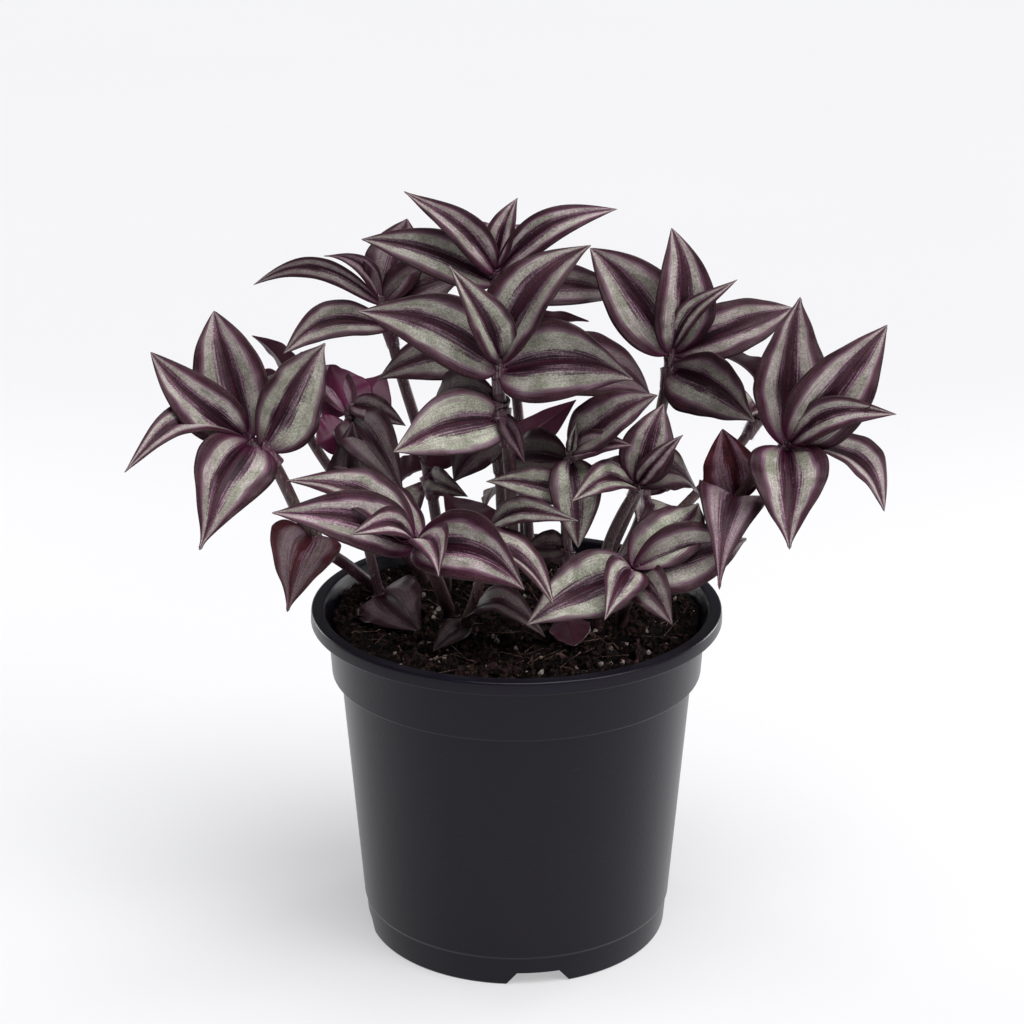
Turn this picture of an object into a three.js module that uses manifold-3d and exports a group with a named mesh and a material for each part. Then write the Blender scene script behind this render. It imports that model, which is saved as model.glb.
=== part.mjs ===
// Potted tradescantia (Tradescantia zebrina) in a black 4 inch nursery pot.
// Millimetres, +Z up. The front of the plant faces -Y, left is -X.
// The origin is the centre of the pot's foot, on the surface that it stands on.
import * as THREE from 'three';
import { mergeVertices } from 'three/addons/utils/BufferGeometryUtils.js';
import Module from 'manifold-3d';

const wasm = await Module();
wasm.setup();

// ---------------------------------------------------------------- driving dimensions

const RIM_RADIUS = 51.0;          // outside of the lip: a 4 inch pot
const POT_HEIGHT = 86.0;
const WALL = 1.3;
const LIP_DROP = 3.2;             // height of the lip's outer edge
const COLLAR_TOP_RADIUS = 47.0;
const COLLAR_BOTTOM_RADIUS = 46.2;
const COLLAR_HEIGHT = 13.6;       // from the step up to the underside of the lip
const BODY_TOP_RADIUS = 44.0;
const BODY_BOTTOM_RADIUS = 39.3;
const FOOT_TOP_RADIUS = 38.9;
const FOOT_RADIUS = 38.3;
const FOOT_HEIGHT = 7.4;
const FOOT_RING = 1.8;            // thickness of the ring that touches the ground
const FLOOR_LIFT = 3.8;           // underside of the pot's floor
const POT_SEGMENTS = 40;

const NOTCHES = 4;                // gaps in the foot that let the water out
const NOTCH_TURN = 8;             // degrees from the front towards the right
const NOTCH_WIDE = 16.0;          // across its mouth on the ground
const NOTCH_NARROW = 10.5;        // across its roof
const NOTCH_HEIGHT = 3.3;
const DRAIN_RADIUS = 4.0;
const DRAIN_CIRCLE = 27.0;        // radius of the circle that the drain holes sit on

const SOIL_TOP = 83.6;
const SOIL_DIP = 1.6;             // the soil lies this much lower in the middle
const SOIL_RELIEF = 0.5;
const SOIL_RINGS = 5;
const SOIL_SEGMENTS = 30;
const CLEARANCE = 0.35;           // between the soil and the pot, and round each stem

const ROOT_DEPTH = 66.0;          // the lower end of every stem
const GROUND_LEVEL = 85.0;        // where the curved part of every stem starts
const STEM_SIDES = 6;
const BLADE_THICKNESS = 0.84;
const BLADE_TIP = 0.9;            // width of a blade's blunt ends
const BROADEST = 0.36;            // where along a blade it is widest
const BLUNT = 0.58;               // how round the widest part is towards the stem
const STATIONS = [0, 0.09, 0.24, 0.42, 0.63, 0.84, 1];
const SMALL_STATIONS = [0, 0.14, 0.4, 0.72, 1];
const SMALL_WIDTH = 12.2;         // blades narrower than this, and round shoots, have the fewer stations
const LIGHT = new THREE.Vector3(0, -0.8, 0.6);   // the way the front leaves turn their faces

// ---------------------------------------------------------------- shoots
// stem: points from the soil to the tip of the shoot.
// leaves: [place on the stem 0..1, [x, y, z of the tip], width, arch, roll, sweep, taper, fold]
//   arch and sweep bow the rib out of and along the blade's plane, as a share of its length,
//   roll turns the face about the rib, fold is how steeply each half rises from the rib (degrees),
//   and a taper over 1 gives a longer, thinner point.

const SHOOTS = {
  "shoot_crown": {
    "girth": 2.8,
    "stem": [[-3, 9, 85], [-4, 8, 118], [-5, 8, 151], [-5, 8, 169]],
    "leaves": {
      "hooked_left": [0.98, [-27.5, 6, 188], 9.5, 0.13, -10, 0.07, 1.1, 20],
      "young_top": [1.0, [0, 11, 186], 9, 0.10, -5, -0.03, 1.0, 30],
      "drooping_right": [0.98, [24.8, 12, 183], 9.5, 0.16, 25, -0.13, 1.0, 20],
      "broad_left": [0.93, [-37.7, 8, 176.8], 13, 0.05, -15, 0.05, 1.0, 20],
      "behind_right": [0.91, [29, 24, 158], 12, 0.11, 15, -0.02, 1.2, 20],
      "back": [0.95, [-3, 40, 172], 15, 0.14, 0, 0, 1.0, 20],
      "lower_left": [0.63, [-35, 8, 142], 15, 0.12, -10, 0.04, 1.1, 20],
      "lower_dark": [0.42, [-16, 2, 117], 13, 0.14, 0, 0.05, 1.0, 20],
      "red_right": [0.38, [15, 16, 134], 10, 0.08, 180, 0, 1.0, 20]
    }
  },
  "shoot_centre": {
    "girth": 3.0,
    "stem": [[-1, -3, 85], [-1, -12, 110], [-2, -14, 130], [-4, -13, 140], [-4, -12, 152]],
    "leaves": {
      "long_left": [0.96, [-37.3, -18, 165], 18, -0.05, -25, 0.11, 1.1, 20],
      "young_left": [1.0, [-15.8, -17, 175.6], 13, 0.16, 5, -0.01, 1.1, 30],
      "tall_right": [0.98, [16.8, -8, 179.5], 17.5, 0.13, -12, -0.06, 1.0, 20],
      "broad_right": [0.94, [27.3, -24, 151.3], 21.5, -0.07, 22, -0.09, 1.1, 20],
      "behind_right": [0.91, [34, 9, 138], 17, 0.16, 10, -0.06, 0.9, 20],
      "pale_left": [0.68, [-28, -36, 136], 17, -0.05, -20, 0.08, 1.0, 20],
      "behind_left": [0.80, [-21, 4, 135], 14, 0.12, -10, 0.05, 1.0, 20],
      "sheath_leaf": [0.72, [2, -21, 129], 6, 0.10, 0, 0, 1.0, 30]
    }
  },
  "shoot_right_top": {
    "girth": 2.8,
    "stem": [[19, 8, 85], [32, 8, 118], [36, 8, 136], [38, 8, 149]],
    "leaves": {
      "broad_left": [0.97, [18.3, 13, 174], 19.5, 0.05, -10, 0.03, 0.9, 20],
      "upright": [0.97, [38.3, 9, 179.1], 16.5, 0.13, 10, 0.04, 0.9, 20],
      "young_right": [1.0, [53, 2, 167.4], 7, 0.12, 10, -0.11, 1.0, 30],
      "broad_right": [0.96, [68.5, 14, 158], 15.5, 0.13, 0, 0.04, 0.9, 20],
      "lower_right": [0.87, [58, 1, 132], 19.5, 0.10, 45, -0.17, 1.1, 20],
      "back": [0.93, [41, 43, 150], 16, 0.14, 0, 0, 1.0, 20]
    }
  },
  "shoot_far_right": {
    "girth": 3.0,
    "stem": [[37, 5, 85], [53, -4, 113], [59, -12, 125], [65, -14, 132]],
    "leaves": {
      "tall": [0.94, [66.8, -3, 165.5], 22, 0.02, 20, -0.05, 1.1, 20],
      "upper_right": [0.99, [86.7, -13, 161.1], 19.5, 0.14, 20, -0.02, 1.0, 20],
      "young_right": [1.0, [88.6, -22, 141.4], 10, 0.14, 25, -0.18, 1.0, 25],
      "drooping_right": [0.93, [85, -34, 122], 15, 0.06, -30, -0.24, 0.9, 20],
      "hanging": [0.93, [62, -38, 114], 20.5, 0.08, 5, -0.02, 1.2, 20],
      "red_back": [0.36, [50, -2, 132], 16, 0.10, -30, 0.08, 0.9, 20],
      "low_hanging": [0.36, [46, -38, 105], 18, 0.25, 0, 0.05, 1.3, 14]
    }
  },
  "shoot_far_left": {
    "girth": 3.0,
    "stem": [[-35, 11, 85], [-42, 4, 94], [-50, -7, 106], [-58, -12, 126], [-65, -12, 133]],
    "leaves": {
      "tall": [0.95, [-72.9, 0, 161.2], 20, 0.03, -12, 0.01, 0.9, 20],
      "upper_left": [0.99, [-86, -16, 154.6], 14, 0.15, -8, -0.05, 0.9, 20],
      "long_left": [1.0, [-89.6, -35, 131], 9.5, 0.14, 5, 0.17, 1.0, 20],
      "hanging": [0.93, [-73, -33, 111], 21, 0.09, -25, 0.10, 1.4, 20],
      "upright_right": [0.85, [-46, 2, 153], 20, 0.11, 45, -0.10, 1.1, 20],
      "low_dull": [0.50, [-53, -35, 97], 19, 0.08, -20, 0.08, 1.3, 20]
    }
  },
  "shoot_left_top": {
    "girth": 2.8,
    "stem": [[-18, 16, 85], [-23, 20, 117], [-29, 24, 138], [-34, 28, 157]],
    "leaves": {
      "long_left": [0.97, [-67, 31, 160], 6.5, 0.15, -40, 0.25, 0.9, 20],
      "young_left": [1.0, [-48, 29, 168], 6, 0.13, -5, 0.16, 1.2, 25],
      "dull_up": [0.97, [-27, 40, 175], 16, 0.12, 5, 0, 1.0, 20],
      "dull_right": [0.96, [-13, 30, 162], 16, 0.12, 0, 0, 1.0, 20],
      "arched_left": [0.87, [-57, 8, 148], 11, -0.06, -10, 0.17, 0.9, 20],
      "plum_low": [0.42, [-13, 12, 119], 12, 0.10, 180, 0, 1.0, 20],
      "olive_low": [0.28, [-12, 6, 112], 8, 0.12, 20, 0.02, 1.0, 20]
    }
  },
  "shoot_left_mid": {
    "girth": 2.4,
    "stem": [[-34, 4, 85], [-38, 4, 104], [-41, 6, 118], [-41, 10, 134]],
    "leaves": {
      "dull_up": [0.50, [-40, -3, 134], 15, 0.08, 0, 0, 1.0, 20],
      "dull_down": [0.93, [-27, -12, 119], 15, 0.16, 0, 0, 1.0, 20],
      "grey_right": [1.0, [-27, 6, 130], 8, 0.20, 0, 0, 1.0, 20],
      "pink_left": [0.97, [-47, 22, 141], 15, 0.05, 170, 0, 1.0, 10],
      "pink_right": [0.97, [-33, 22, 139], 15, 0.05, 170, 0, 1.0, 10],
      "small_lobe": [0.95, [-50, 32, 139], 10, 0.05, 0, 0, 0.9, 20],
      "pink_low": [0.90, [-49, 2, 126], 12, 0.05, 165, 0, 1.0, 10],
      "low_purple": [0.02, [-24, -17, 85], 18, 0.05, 0, 0, 1.0, 12]
    }
  },
  "shoot_front_left": {
    "girth": 3.2,
    "stem": [[-17, -2, 85], [-20, -19, 101], [-24, -34, 114]],
    "leaves": {
      "long_left": [0.97, [-56, -42, 124], 15.5, 0.07, -5, 0.06, 1.1, 20],
      "upper_left": [1.0, [-54, -30, 128], 14, 0.13, 20, 0.08, 1.1, 20],
      "pink_edge": [0.88, [-44, -14, 127], 11, 0.12, 60, 0.10, 1.0, 20],
      "small_arched": [0.98, [-37, -52, 122], 9, 0.11, 0, 0.12, 1.0, 20],
      "small_heart": [0.97, [-17, -55, 114], 11, 0.13, 0, -0.13, 1.1, 20],
      "broad_right": [0.94, [2, -55, 111], 18, -0.04, 15, -0.12, 1.0, 20],
      "lower_right": [0.85, [9, -51, 106], 15, 0.10, -45, -0.17, 0.9, 20]
    }
  },
  "shoot_middle_low": {
    "girth": 2.4,
    "stem": [[-13, -14, 85], [-9, -19, 98], [-6, -21, 113.5]],
    "leaves": {
      "pale_right": [1.0, [14, -34, 119], 8, 0.14, 0, -0.08, 1.0, 20],
      "maroon_left": [0.95, [-18, -9, 117], 14, 0.10, 180, 0, 1.0, 20],
      "low_arched": [0.04, [7, -25, 87], 13, 0.34, -35, 0, 1.0, 15],
      "small_grey": [0.02, [-20, -28, 84.5], 7, 0.06, 0, 0, 1.0, 15]
    }
  },
  "shoot_right_mid": {
    "girth": 2.6,
    "stem": [[12, -12, 85], [12, -12, 104], [12, -12, 117], [13, -12, 129]],
    "leaves": {
      "upper_right": [1.0, [33, -16, 145], 14, 0.08, -10, -0.01, 0.9, 20],
      "small_red": [0.97, [27, -22, 134], 8, 0.10, 0, -0.05, 1.0, 20],
      "young": [1.0, [14, -15, 137], 4, 0.05, 0, 0, 1.0, 35],
      "hanging": [0.95, [14, -27, 110], 13.5, 0.09, 0, -0.02, 0.9, 20],
      "pale_left": [0.71, [-7, -23, 126], 9.5, 0.10, -15, 0.02, 1.0, 20],
      "dark_left": [0.93, [-3, 2, 122], 14, 0.14, 0, 0, 1.0, 20],
      "dark_low": [0.34, [1, -14, 105], 9, 0.12, 0, 0, 1.0, 20],
      "red_low": [0.05, [14, -31, 86], 11, -0.08, 180, 0, 1.0, 20]
    }
  },
  "shoot_right_low": {
    "girth": 2.6,
    "stem": [[20, -9, 85], [22, -10, 104], [29, -12, 121]],
    "leaves": {
      "upright": [1.0, [35, -7, 140], 14.5, 0.12, 10, -0.04, 1.0, 20],
      "young_right": [1.0, [39, -16, 135], 7, 0.12, 10, -0.01, 1.0, 30],
      "broad_right": [0.97, [45, -1, 115], 18, 0.12, -20, -0.20, 0.9, 20],
      "pale_left": [0.96, [13, -35, 124], 10, 0.08, 0, 0.11, 1.0, 20]
    }
  },
  "shoot_front_right": {
    "girth": 3.0,
    "stem": [[26, -6, 85], [27, -18, 95], [27, -30, 106]],
    "leaves": {
      "upper_right": [1.0, [45, -10, 116], 16.5, 0.10, -5, 0.07, 1.2, 20],
      "broad_right": [0.97, [56, -19, 109], 18, 0.12, 20, -0.03, 1.2, 20],
      "silver_left": [0.94, [2, -48, 100], 17.5, 0.02, -5, 0.02, 1.0, 20],
      "small_heart": [0.97, [20, -51, 102], 12, 0.09, -15, 0.06, 1.1, 20],
      "low_point": [0.88, [36, -42, 97], 12, 0.14, 0, 0, 1.0, 20]
    }
  }
};

// Shoots at the back and sides carry leaves spread round their tips by rule.
// light: the way their faces turn. reach: how far the leaves spread. turn: heading of the first leaf.
const ROUND_SHOOTS = {
  "shoot_back_crown": {
    "girth": 2.6, "stem": [[4, 24, 85], [2, 30, 110], [0, 34, 130], [-1, 36, 142]],
    "light": [0, 0.5, 1], "reach": 24, "leaf_count": 6, "turn": 80, "seed": 3
  },
  "shoot_back_left": {
    "girth": 2.6, "stem": [[-24, 22, 85], [-41, 28, 102], [-53, 35, 117], [-58, 37, 130]],
    "light": [-0.5, 0.5, 1], "reach": 19, "leaf_count": 6, "turn": 150, "seed": 5
  },
  "shoot_back_right": {
    "girth": 2.6, "stem": [[24, 22, 85], [43, 26, 102], [58, 33, 117], [66, 36, 130]],
    "light": [0.5, 0.5, 1], "reach": 20, "leaf_count": 6, "turn": 40, "seed": 8
  },
  "shoot_back_low": {
    "girth": 2.4, "stem": [[2, 36, 85], [2, 41, 96], [2, 42, 105]],
    "light": [0, 0.8, 1], "reach": 15, "leaf_count": 5, "turn": 40, "seed": 12
  },
  "shoot_back_left_low": {
    "girth": 2.4, "stem": [[-26, 27, 85], [-31, 38, 94], [-33, 43, 102]],
    "light": [-0.5, 0.8, 1], "reach": 16, "leaf_count": 5, "turn": 110, "seed": 17
  },
  "shoot_back_right_low": {
    "girth": 2.4, "stem": [[26, 27, 85], [32, 37, 94], [34, 41, 102]],
    "light": [0.5, 0.8, 1], "reach": 16, "leaf_count": 5, "turn": 60, "seed": 21
  }
};
const GOLDEN_TURN = 137.5;        // degrees from one leaf to the next round a stem
const FIRST_RISE = 0.75;          // how far the first leaf rises, as a share of its reach
const LAST_RISE = -0.35;
const LEAF_STEP = 0.035;          // share of the stem between one leaf and the next
const ROUND_WIDTH = 15.0;

// ---------------------------------------------------------------- colours from the photo

const FINISHES = {
  pot: { color: 0x26262a, roughness: 0.42, metalness: 0 },
  soil: { color: 0x2e1f1a, roughness: 0.95, metalness: 0 },
  leaf: { color: 0x6e5a62, roughness: 0.45, metalness: 0 }
};

// ---------------------------------------------------------------- solids

const radians = THREE.MathUtils.degToRad;

// A closed geometry becomes a solid once only its places are left and shared corners are one.
function toSolid(geometry) {
  const bare = geometry.clone();
  bare.deleteAttribute('normal');
  bare.deleteAttribute('uv');
  const merged = mergeVertices(bare, 1e-4);
  const corners = merged.index.array;
  const kept = [];
  for (let i = 0; i < corners.length; i += 3) {
    const [a, b, c] = [corners[i], corners[i + 1], corners[i + 2]];
    if (a !== b && b !== c && c !== a) kept.push(a, b, c);
  }
  return new wasm.Manifold(new wasm.Mesh({
    numProp: 3,
    vertProperties: new Float32Array(merged.attributes.position.array),
    triVerts: new Uint32Array(kept)
  }));
}

// The body of a solid: sealed hollows are filled and loose scraps are dropped.
function largestBody(solid) {
  const largest = (whole) => whole.decompose().sort((a, b) => b.volume() - a.volume())[0];
  return largest(largest(solid).asOriginal().simplify(0.02));
}

function toMesh(name, solid, finish) {
  const { vertProperties, triVerts } = solid.getMesh();
  const geometry = new THREE.BufferGeometry();
  geometry.setAttribute('position', new THREE.BufferAttribute(vertProperties, 3));
  geometry.setIndex(new THREE.BufferAttribute(triVerts, 1));
  geometry.computeVertexNormals();
  const mesh = new THREE.Mesh(geometry, new THREE.MeshStandardMaterial(finish));
  mesh.name = name;
  return mesh;
}

// A profile of [radius, height] pairs that starts and ends on the axis, turned about Z.
function turned(profile, segments) {
  const outline = profile.map(([radius, height]) => new THREE.Vector2(radius, height));
  const geometry = new THREE.LatheGeometry(outline, segments);
  return toSolid(geometry.rotateX(Math.PI / 2));
}

function upright(x, y, radius, bottom, top, sides) {
  const geometry = new THREE.CylinderGeometry(radius, radius, top - bottom, sides);
  geometry.rotateX(Math.PI / 2);
  geometry.translate(x, y, (top + bottom) / 2);
  return toSolid(geometry);
}

// ---------------------------------------------------------------- pot

const STEP_HEIGHT = POT_HEIGHT - LIP_DROP - COLLAR_HEIGHT;
const FLOOR_TOP = FLOOR_LIFT + WALL;

function potProfile() {
  const lipBottom = POT_HEIGHT - LIP_DROP;
  return [
    [0, FLOOR_LIFT],
    [FOOT_RADIUS - FOOT_RING, FLOOR_LIFT],
    [FOOT_RADIUS - FOOT_RING, 0],
    [FOOT_RADIUS, 0],
    [FOOT_TOP_RADIUS, FOOT_HEIGHT],
    [BODY_BOTTOM_RADIUS, FOOT_HEIGHT + 0.6],
    [BODY_TOP_RADIUS, STEP_HEIGHT - 0.8],
    [COLLAR_BOTTOM_RADIUS, STEP_HEIGHT],
    [COLLAR_TOP_RADIUS, lipBottom - 0.8],
    [RIM_RADIUS + 0.2, lipBottom],
    [RIM_RADIUS, POT_HEIGHT - 0.4],
    [RIM_RADIUS - 0.5, POT_HEIGHT],
    [COLLAR_TOP_RADIUS + 1.2, POT_HEIGHT],
    [COLLAR_TOP_RADIUS + 0.5, POT_HEIGHT - 0.8],
    [COLLAR_TOP_RADIUS - WALL, lipBottom - 1.2],
    [COLLAR_BOTTOM_RADIUS - WALL, STEP_HEIGHT + 1.2],
    [BODY_TOP_RADIUS - WALL, STEP_HEIGHT],
    [BODY_BOTTOM_RADIUS - WALL, FLOOR_TOP],
    [0, FLOOR_TOP]
  ];
}

// A wedge that cuts one gap through the foot's ring.
function notchCutter(turn) {
  const outline = new THREE.Shape([
    new THREE.Vector2(-NOTCH_WIDE / 2, -1),
    new THREE.Vector2(NOTCH_WIDE / 2, -1),
    new THREE.Vector2(NOTCH_NARROW / 2, NOTCH_HEIGHT),
    new THREE.Vector2(-NOTCH_NARROW / 2, NOTCH_HEIGHT)
  ]);
  const depth = 8;
  const geometry = new THREE.ExtrudeGeometry(outline, { depth, bevelEnabled: false });
  geometry.rotateX(Math.PI / 2);
  geometry.translate(0, -FOOT_RADIUS + depth / 2 + 1, 0);
  geometry.rotateZ(radians(turn));
  return toSolid(geometry);
}

function makePot() {
  let pot = turned(potProfile(), POT_SEGMENTS);
  for (let i = 0; i < NOTCHES; i += 1) {
    const turn = NOTCH_TURN + i * 360 / NOTCHES;
    const x = DRAIN_CIRCLE * Math.sin(radians(turn));
    const y = -DRAIN_CIRCLE * Math.cos(radians(turn));
    pot = pot.subtract(notchCutter(turn));
    pot = pot.subtract(upright(x, y, DRAIN_RADIUS, 0, FLOOR_TOP + 1, 12));
  }
  return toMesh('pot', pot, FINISHES.pot);
}

// ---------------------------------------------------------------- soil

// Low uneven crumbs, pushed up against the pot's wall.
function soilHeight(x, y) {
  const radius = Math.hypot(x, y) / COLLAR_TOP_RADIUS;
  const crumbs = Math.sin(0.55 * x + 1.3) * Math.cos(0.47 * y - 0.6) + 0.6 * Math.sin(0.9 * y + 0.7 * x);
  return SOIL_TOP - SOIL_DIP * (1 - radius * radius) + SOIL_RELIEF * crumbs;
}

function makeSoil(stems) {
  const inside = COLLAR_TOP_RADIUS - WALL - CLEARANCE - 0.1;
  const profile = [
    [0, FLOOR_TOP + CLEARANCE],
    [BODY_BOTTOM_RADIUS - WALL - CLEARANCE - 0.1, FLOOR_TOP + CLEARANCE],
    [BODY_TOP_RADIUS - WALL - CLEARANCE - 0.1, STEP_HEIGHT],
    [COLLAR_BOTTOM_RADIUS - WALL - CLEARANCE - 0.1, STEP_HEIGHT + 1.6]
  ];
  for (let ring = 0; ring <= SOIL_RINGS; ring += 1) {
    profile.push([inside * (1 - ring / SOIL_RINGS), SOIL_TOP]);
  }
  const outline = profile.map(([radius, height]) => new THREE.Vector2(radius, height));
  const geometry = new THREE.LatheGeometry(outline, SOIL_SEGMENTS).rotateX(Math.PI / 2);
  const place = geometry.attributes.position;
  for (let i = 0; i < place.count; i += 1) {
    if (place.getZ(i) > SOIL_TOP - 0.01) place.setZ(i, soilHeight(place.getX(i), place.getY(i)));
  }
  let soil = toSolid(geometry);
  for (const { root, girth } of stems) {
    const hole = girth / 2 + CLEARANCE + 0.15;
    soil = soil.subtract(upright(root[0], root[1], hole, ROOT_DEPTH - CLEARANCE, SOIL_TOP + 6, 8));
  }
  return toMesh('soil', largestBody(soil), FINISHES.soil);
}

// ---------------------------------------------------------------- shoots

function stemCurve(points) {
  return new THREE.CatmullRomCurve3(points.map((p) => new THREE.Vector3(...p)), false, 'catmullrom', 0.5);
}

function makeStem(points, girth) {
  const outline = [];
  for (let i = 0; i < STEM_SIDES; i += 1) {
    const turn = i * 2 * Math.PI / STEM_SIDES;
    outline.push(new THREE.Vector2(girth / 2 * Math.cos(turn), girth / 2 * Math.sin(turn)));
  }
  const curve = stemCurve(points);
  const steps = Math.max(4, Math.round(curve.getLength() / 7));
  const shape = new THREE.Shape(outline);
  const tube = new THREE.ExtrudeGeometry(shape, { steps, bevelEnabled: false, extrudePath: curve });
  const [x, y] = points[0];
  const root = upright(x, y, girth / 2, ROOT_DEPTH, GROUND_LEVEL + 0.8, STEM_SIDES);
  return toSolid(tube).add(root);
}

// Half the blade's width at a share t of its length.
function halfWidth(t, width, taper) {
  if (t <= 0 || t >= 1) return BLADE_TIP / 2;
  const pointed = BLUNT * (1 - BROADEST) / BROADEST * taper;
  const widest = BLUNT / (BLUNT + pointed);
  const swell = (t / widest) ** BLUNT * ((1 - t) / (1 - widest)) ** pointed;
  return Math.max(BLADE_TIP / 2, width / 2 * swell);
}

// A point on the blade's middle surface: t runs from stem to tip, u from edge to edge (-1..1).
function bladePoint(blade, t, u) {
  const { base, along, face, side, length, width, arch, sweep, taper, fold } = blade;
  const bow = Math.sin(Math.PI * t) * length;
  const half = halfWidth(t, width, taper);
  const rise = radians(fold) * (1 + 0.6 * (1 - t) ** 3);
  return base.clone()
    .addScaledVector(along, length * t)
    .addScaledVector(face, arch * bow + half * Math.sin(rise) * Math.abs(u))
    .addScaledVector(side, sweep * bow + half * Math.cos(rise) * u);
}

function bladeFrame(curve, row, light, plain) {
  const [place, tip, width, arch, roll, sweep, taper, fold] = row;
  const base = curve.getPoint(place);
  const along = new THREE.Vector3(...tip).sub(base);
  const length = along.length();
  along.normalize();
  const face = light.clone().addScaledVector(along, -light.dot(along)).normalize();
  face.applyAxisAngle(along, radians(roll));
  const side = new THREE.Vector3().crossVectors(along, face);
  return { base, along, face, side, length, width, arch, sweep, taper, fold, plain };
}

// A thin closed blade: an upper and a lower skin, divided into triangles alike.
function makeBlade(blade) {
  const across = [-1, 0, 1];
  const upper = [];
  const lower = [];
  const stations = blade.plain || blade.width < SMALL_WIDTH ? SMALL_STATIONS : STATIONS;
  for (const t of stations) {
    const rise = radians(blade.fold) * (1 + 0.6 * (1 - t) ** 3);
    const step = 0.02;
    const ahead = bladePoint(blade, t + step, 0).sub(bladePoint(blade, t - step, 0)).normalize();
    for (const u of across) {
      const lean = new THREE.Vector3().copy(blade.face).multiplyScalar(Math.cos(rise * Math.abs(u)));
      lean.addScaledVector(blade.side, -Math.sin(rise) * u);
      lean.addScaledVector(ahead, -lean.dot(ahead)).normalize();
      const middle = bladePoint(blade, t, u);
      upper.push(middle.clone().addScaledVector(lean, BLADE_THICKNESS / 2));
      lower.push(middle.clone().addScaledVector(lean, -BLADE_THICKNESS / 2));
    }
  }
  const columns = across.length;
  const rows = stations.length;
  const under = upper.length;
  const index = [];
  const quad = (a, b, c, d) => index.push(a, c, b, a, d, c);
  for (let i = 0; i + 1 < rows; i += 1) {
    for (let j = 0; j + 1 < columns; j += 1) {
      const a = i * columns + j;
      const b = a + columns;
      quad(a, b, b + 1, a + 1);
      index.push(under + a, under + b, under + b + 1, under + a, under + b + 1, under + a + 1);
    }
    const left = i * columns;
    const right = left + columns - 1;
    quad(left, under + left, under + left + columns, left + columns);
    quad(right, right + columns, under + right + columns, under + right);
  }
  for (let j = 0; j + 1 < columns; j += 1) {
    const last = (rows - 1) * columns + j;
    quad(j, j + 1, under + j + 1, under + j);
    quad(last, under + last, under + last + 1, last + 1);
  }
  const geometry = new THREE.BufferGeometry().setFromPoints([...upper, ...lower]);
  geometry.setIndex(index);
  const solid = toSolid(geometry);
  if (solid.volume() < 0) throw new Error('a blade is inside out');
  return solid;
}

// A small even wobble between -1 and 1, always the same for the same numbers.
function wobble(seed, k) {
  return Math.sin(seed * 12.9898 + k * 78.233);
}

// The leaves of a round shoot: each a golden turn on from the last, lower and flatter each time.
function roundLeaves({ stem, reach, leaf_count: count, turn, seed }) {
  const crown = stem[stem.length - 1];
  const rows = [];
  for (let k = 0; k < count; k += 1) {
    const heading = radians(turn + GOLDEN_TURN * k + 10 * wobble(seed, k));
    const spread = reach * (0.9 + 0.12 * wobble(seed, k + 10)) * (k === 0 ? 0.7 : 1);
    const rise = reach * (FIRST_RISE + (LAST_RISE - FIRST_RISE) * k / (count - 1));
    const tip = [
      crown[0] + spread * Math.cos(heading),
      crown[1] + spread * Math.sin(heading),
      crown[2] + rise
    ];
    const width = ROUND_WIDTH * (k === 0 ? 0.6 : 1) * (1 + 0.08 * wobble(seed, k + 20));
    rows.push([0.99 - LEAF_STEP * k, tip, width, 0.14, 8 * wobble(seed, k + 30), 0, 1.0, 20]);
  }
  return rows;
}

function makeShoot(name, shoot) {
  const curve = stemCurve(shoot.stem);
  const light = (shoot.light ? new THREE.Vector3(...shoot.light) : LIGHT.clone()).normalize();
  const rows = shoot.leaves ? Object.values(shoot.leaves) : roundLeaves(shoot);
  let solid = makeStem(shoot.stem, shoot.girth);
  for (const row of rows) {
    solid = solid.add(makeBlade(bladeFrame(curve, row, light, !shoot.leaves)));
  }
  return toMesh(name, largestBody(solid), FINISHES.leaf);
}

// ---------------------------------------------------------------- the whole plant

const plant = new THREE.Group();
const shoots = Object.entries({ ...SHOOTS, ...ROUND_SHOOTS });
plant.add(makePot());
plant.add(makeSoil(shoots.map(([, shoot]) => ({ root: shoot.stem[0], girth: shoot.girth }))));
for (const [name, shoot] of shoots) {
  plant.add(makeShoot(name, shoot));
}

export default plant;
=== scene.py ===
import math
from types import SimpleNamespace

import bmesh
import bpy
import numpy as np
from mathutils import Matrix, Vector, noise


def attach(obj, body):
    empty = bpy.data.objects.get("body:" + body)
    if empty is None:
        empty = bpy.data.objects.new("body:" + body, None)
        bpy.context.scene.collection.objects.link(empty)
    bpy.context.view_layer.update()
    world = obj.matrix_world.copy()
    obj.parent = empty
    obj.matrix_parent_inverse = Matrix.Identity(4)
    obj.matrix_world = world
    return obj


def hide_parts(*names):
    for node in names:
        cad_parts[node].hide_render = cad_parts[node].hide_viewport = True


# Potted tradescantia in a black nursery pot. Metres, +Z up, the front faces -Y.
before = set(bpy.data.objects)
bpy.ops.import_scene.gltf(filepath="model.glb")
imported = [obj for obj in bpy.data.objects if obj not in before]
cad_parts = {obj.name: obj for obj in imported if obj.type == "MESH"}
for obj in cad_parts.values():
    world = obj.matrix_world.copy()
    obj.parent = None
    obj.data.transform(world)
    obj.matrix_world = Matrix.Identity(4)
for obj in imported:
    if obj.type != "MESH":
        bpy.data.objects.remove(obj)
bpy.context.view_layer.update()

MM = 0.001
HALF_TURN = 3.14        # radians

# ---- sizes, in millimetres

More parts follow.
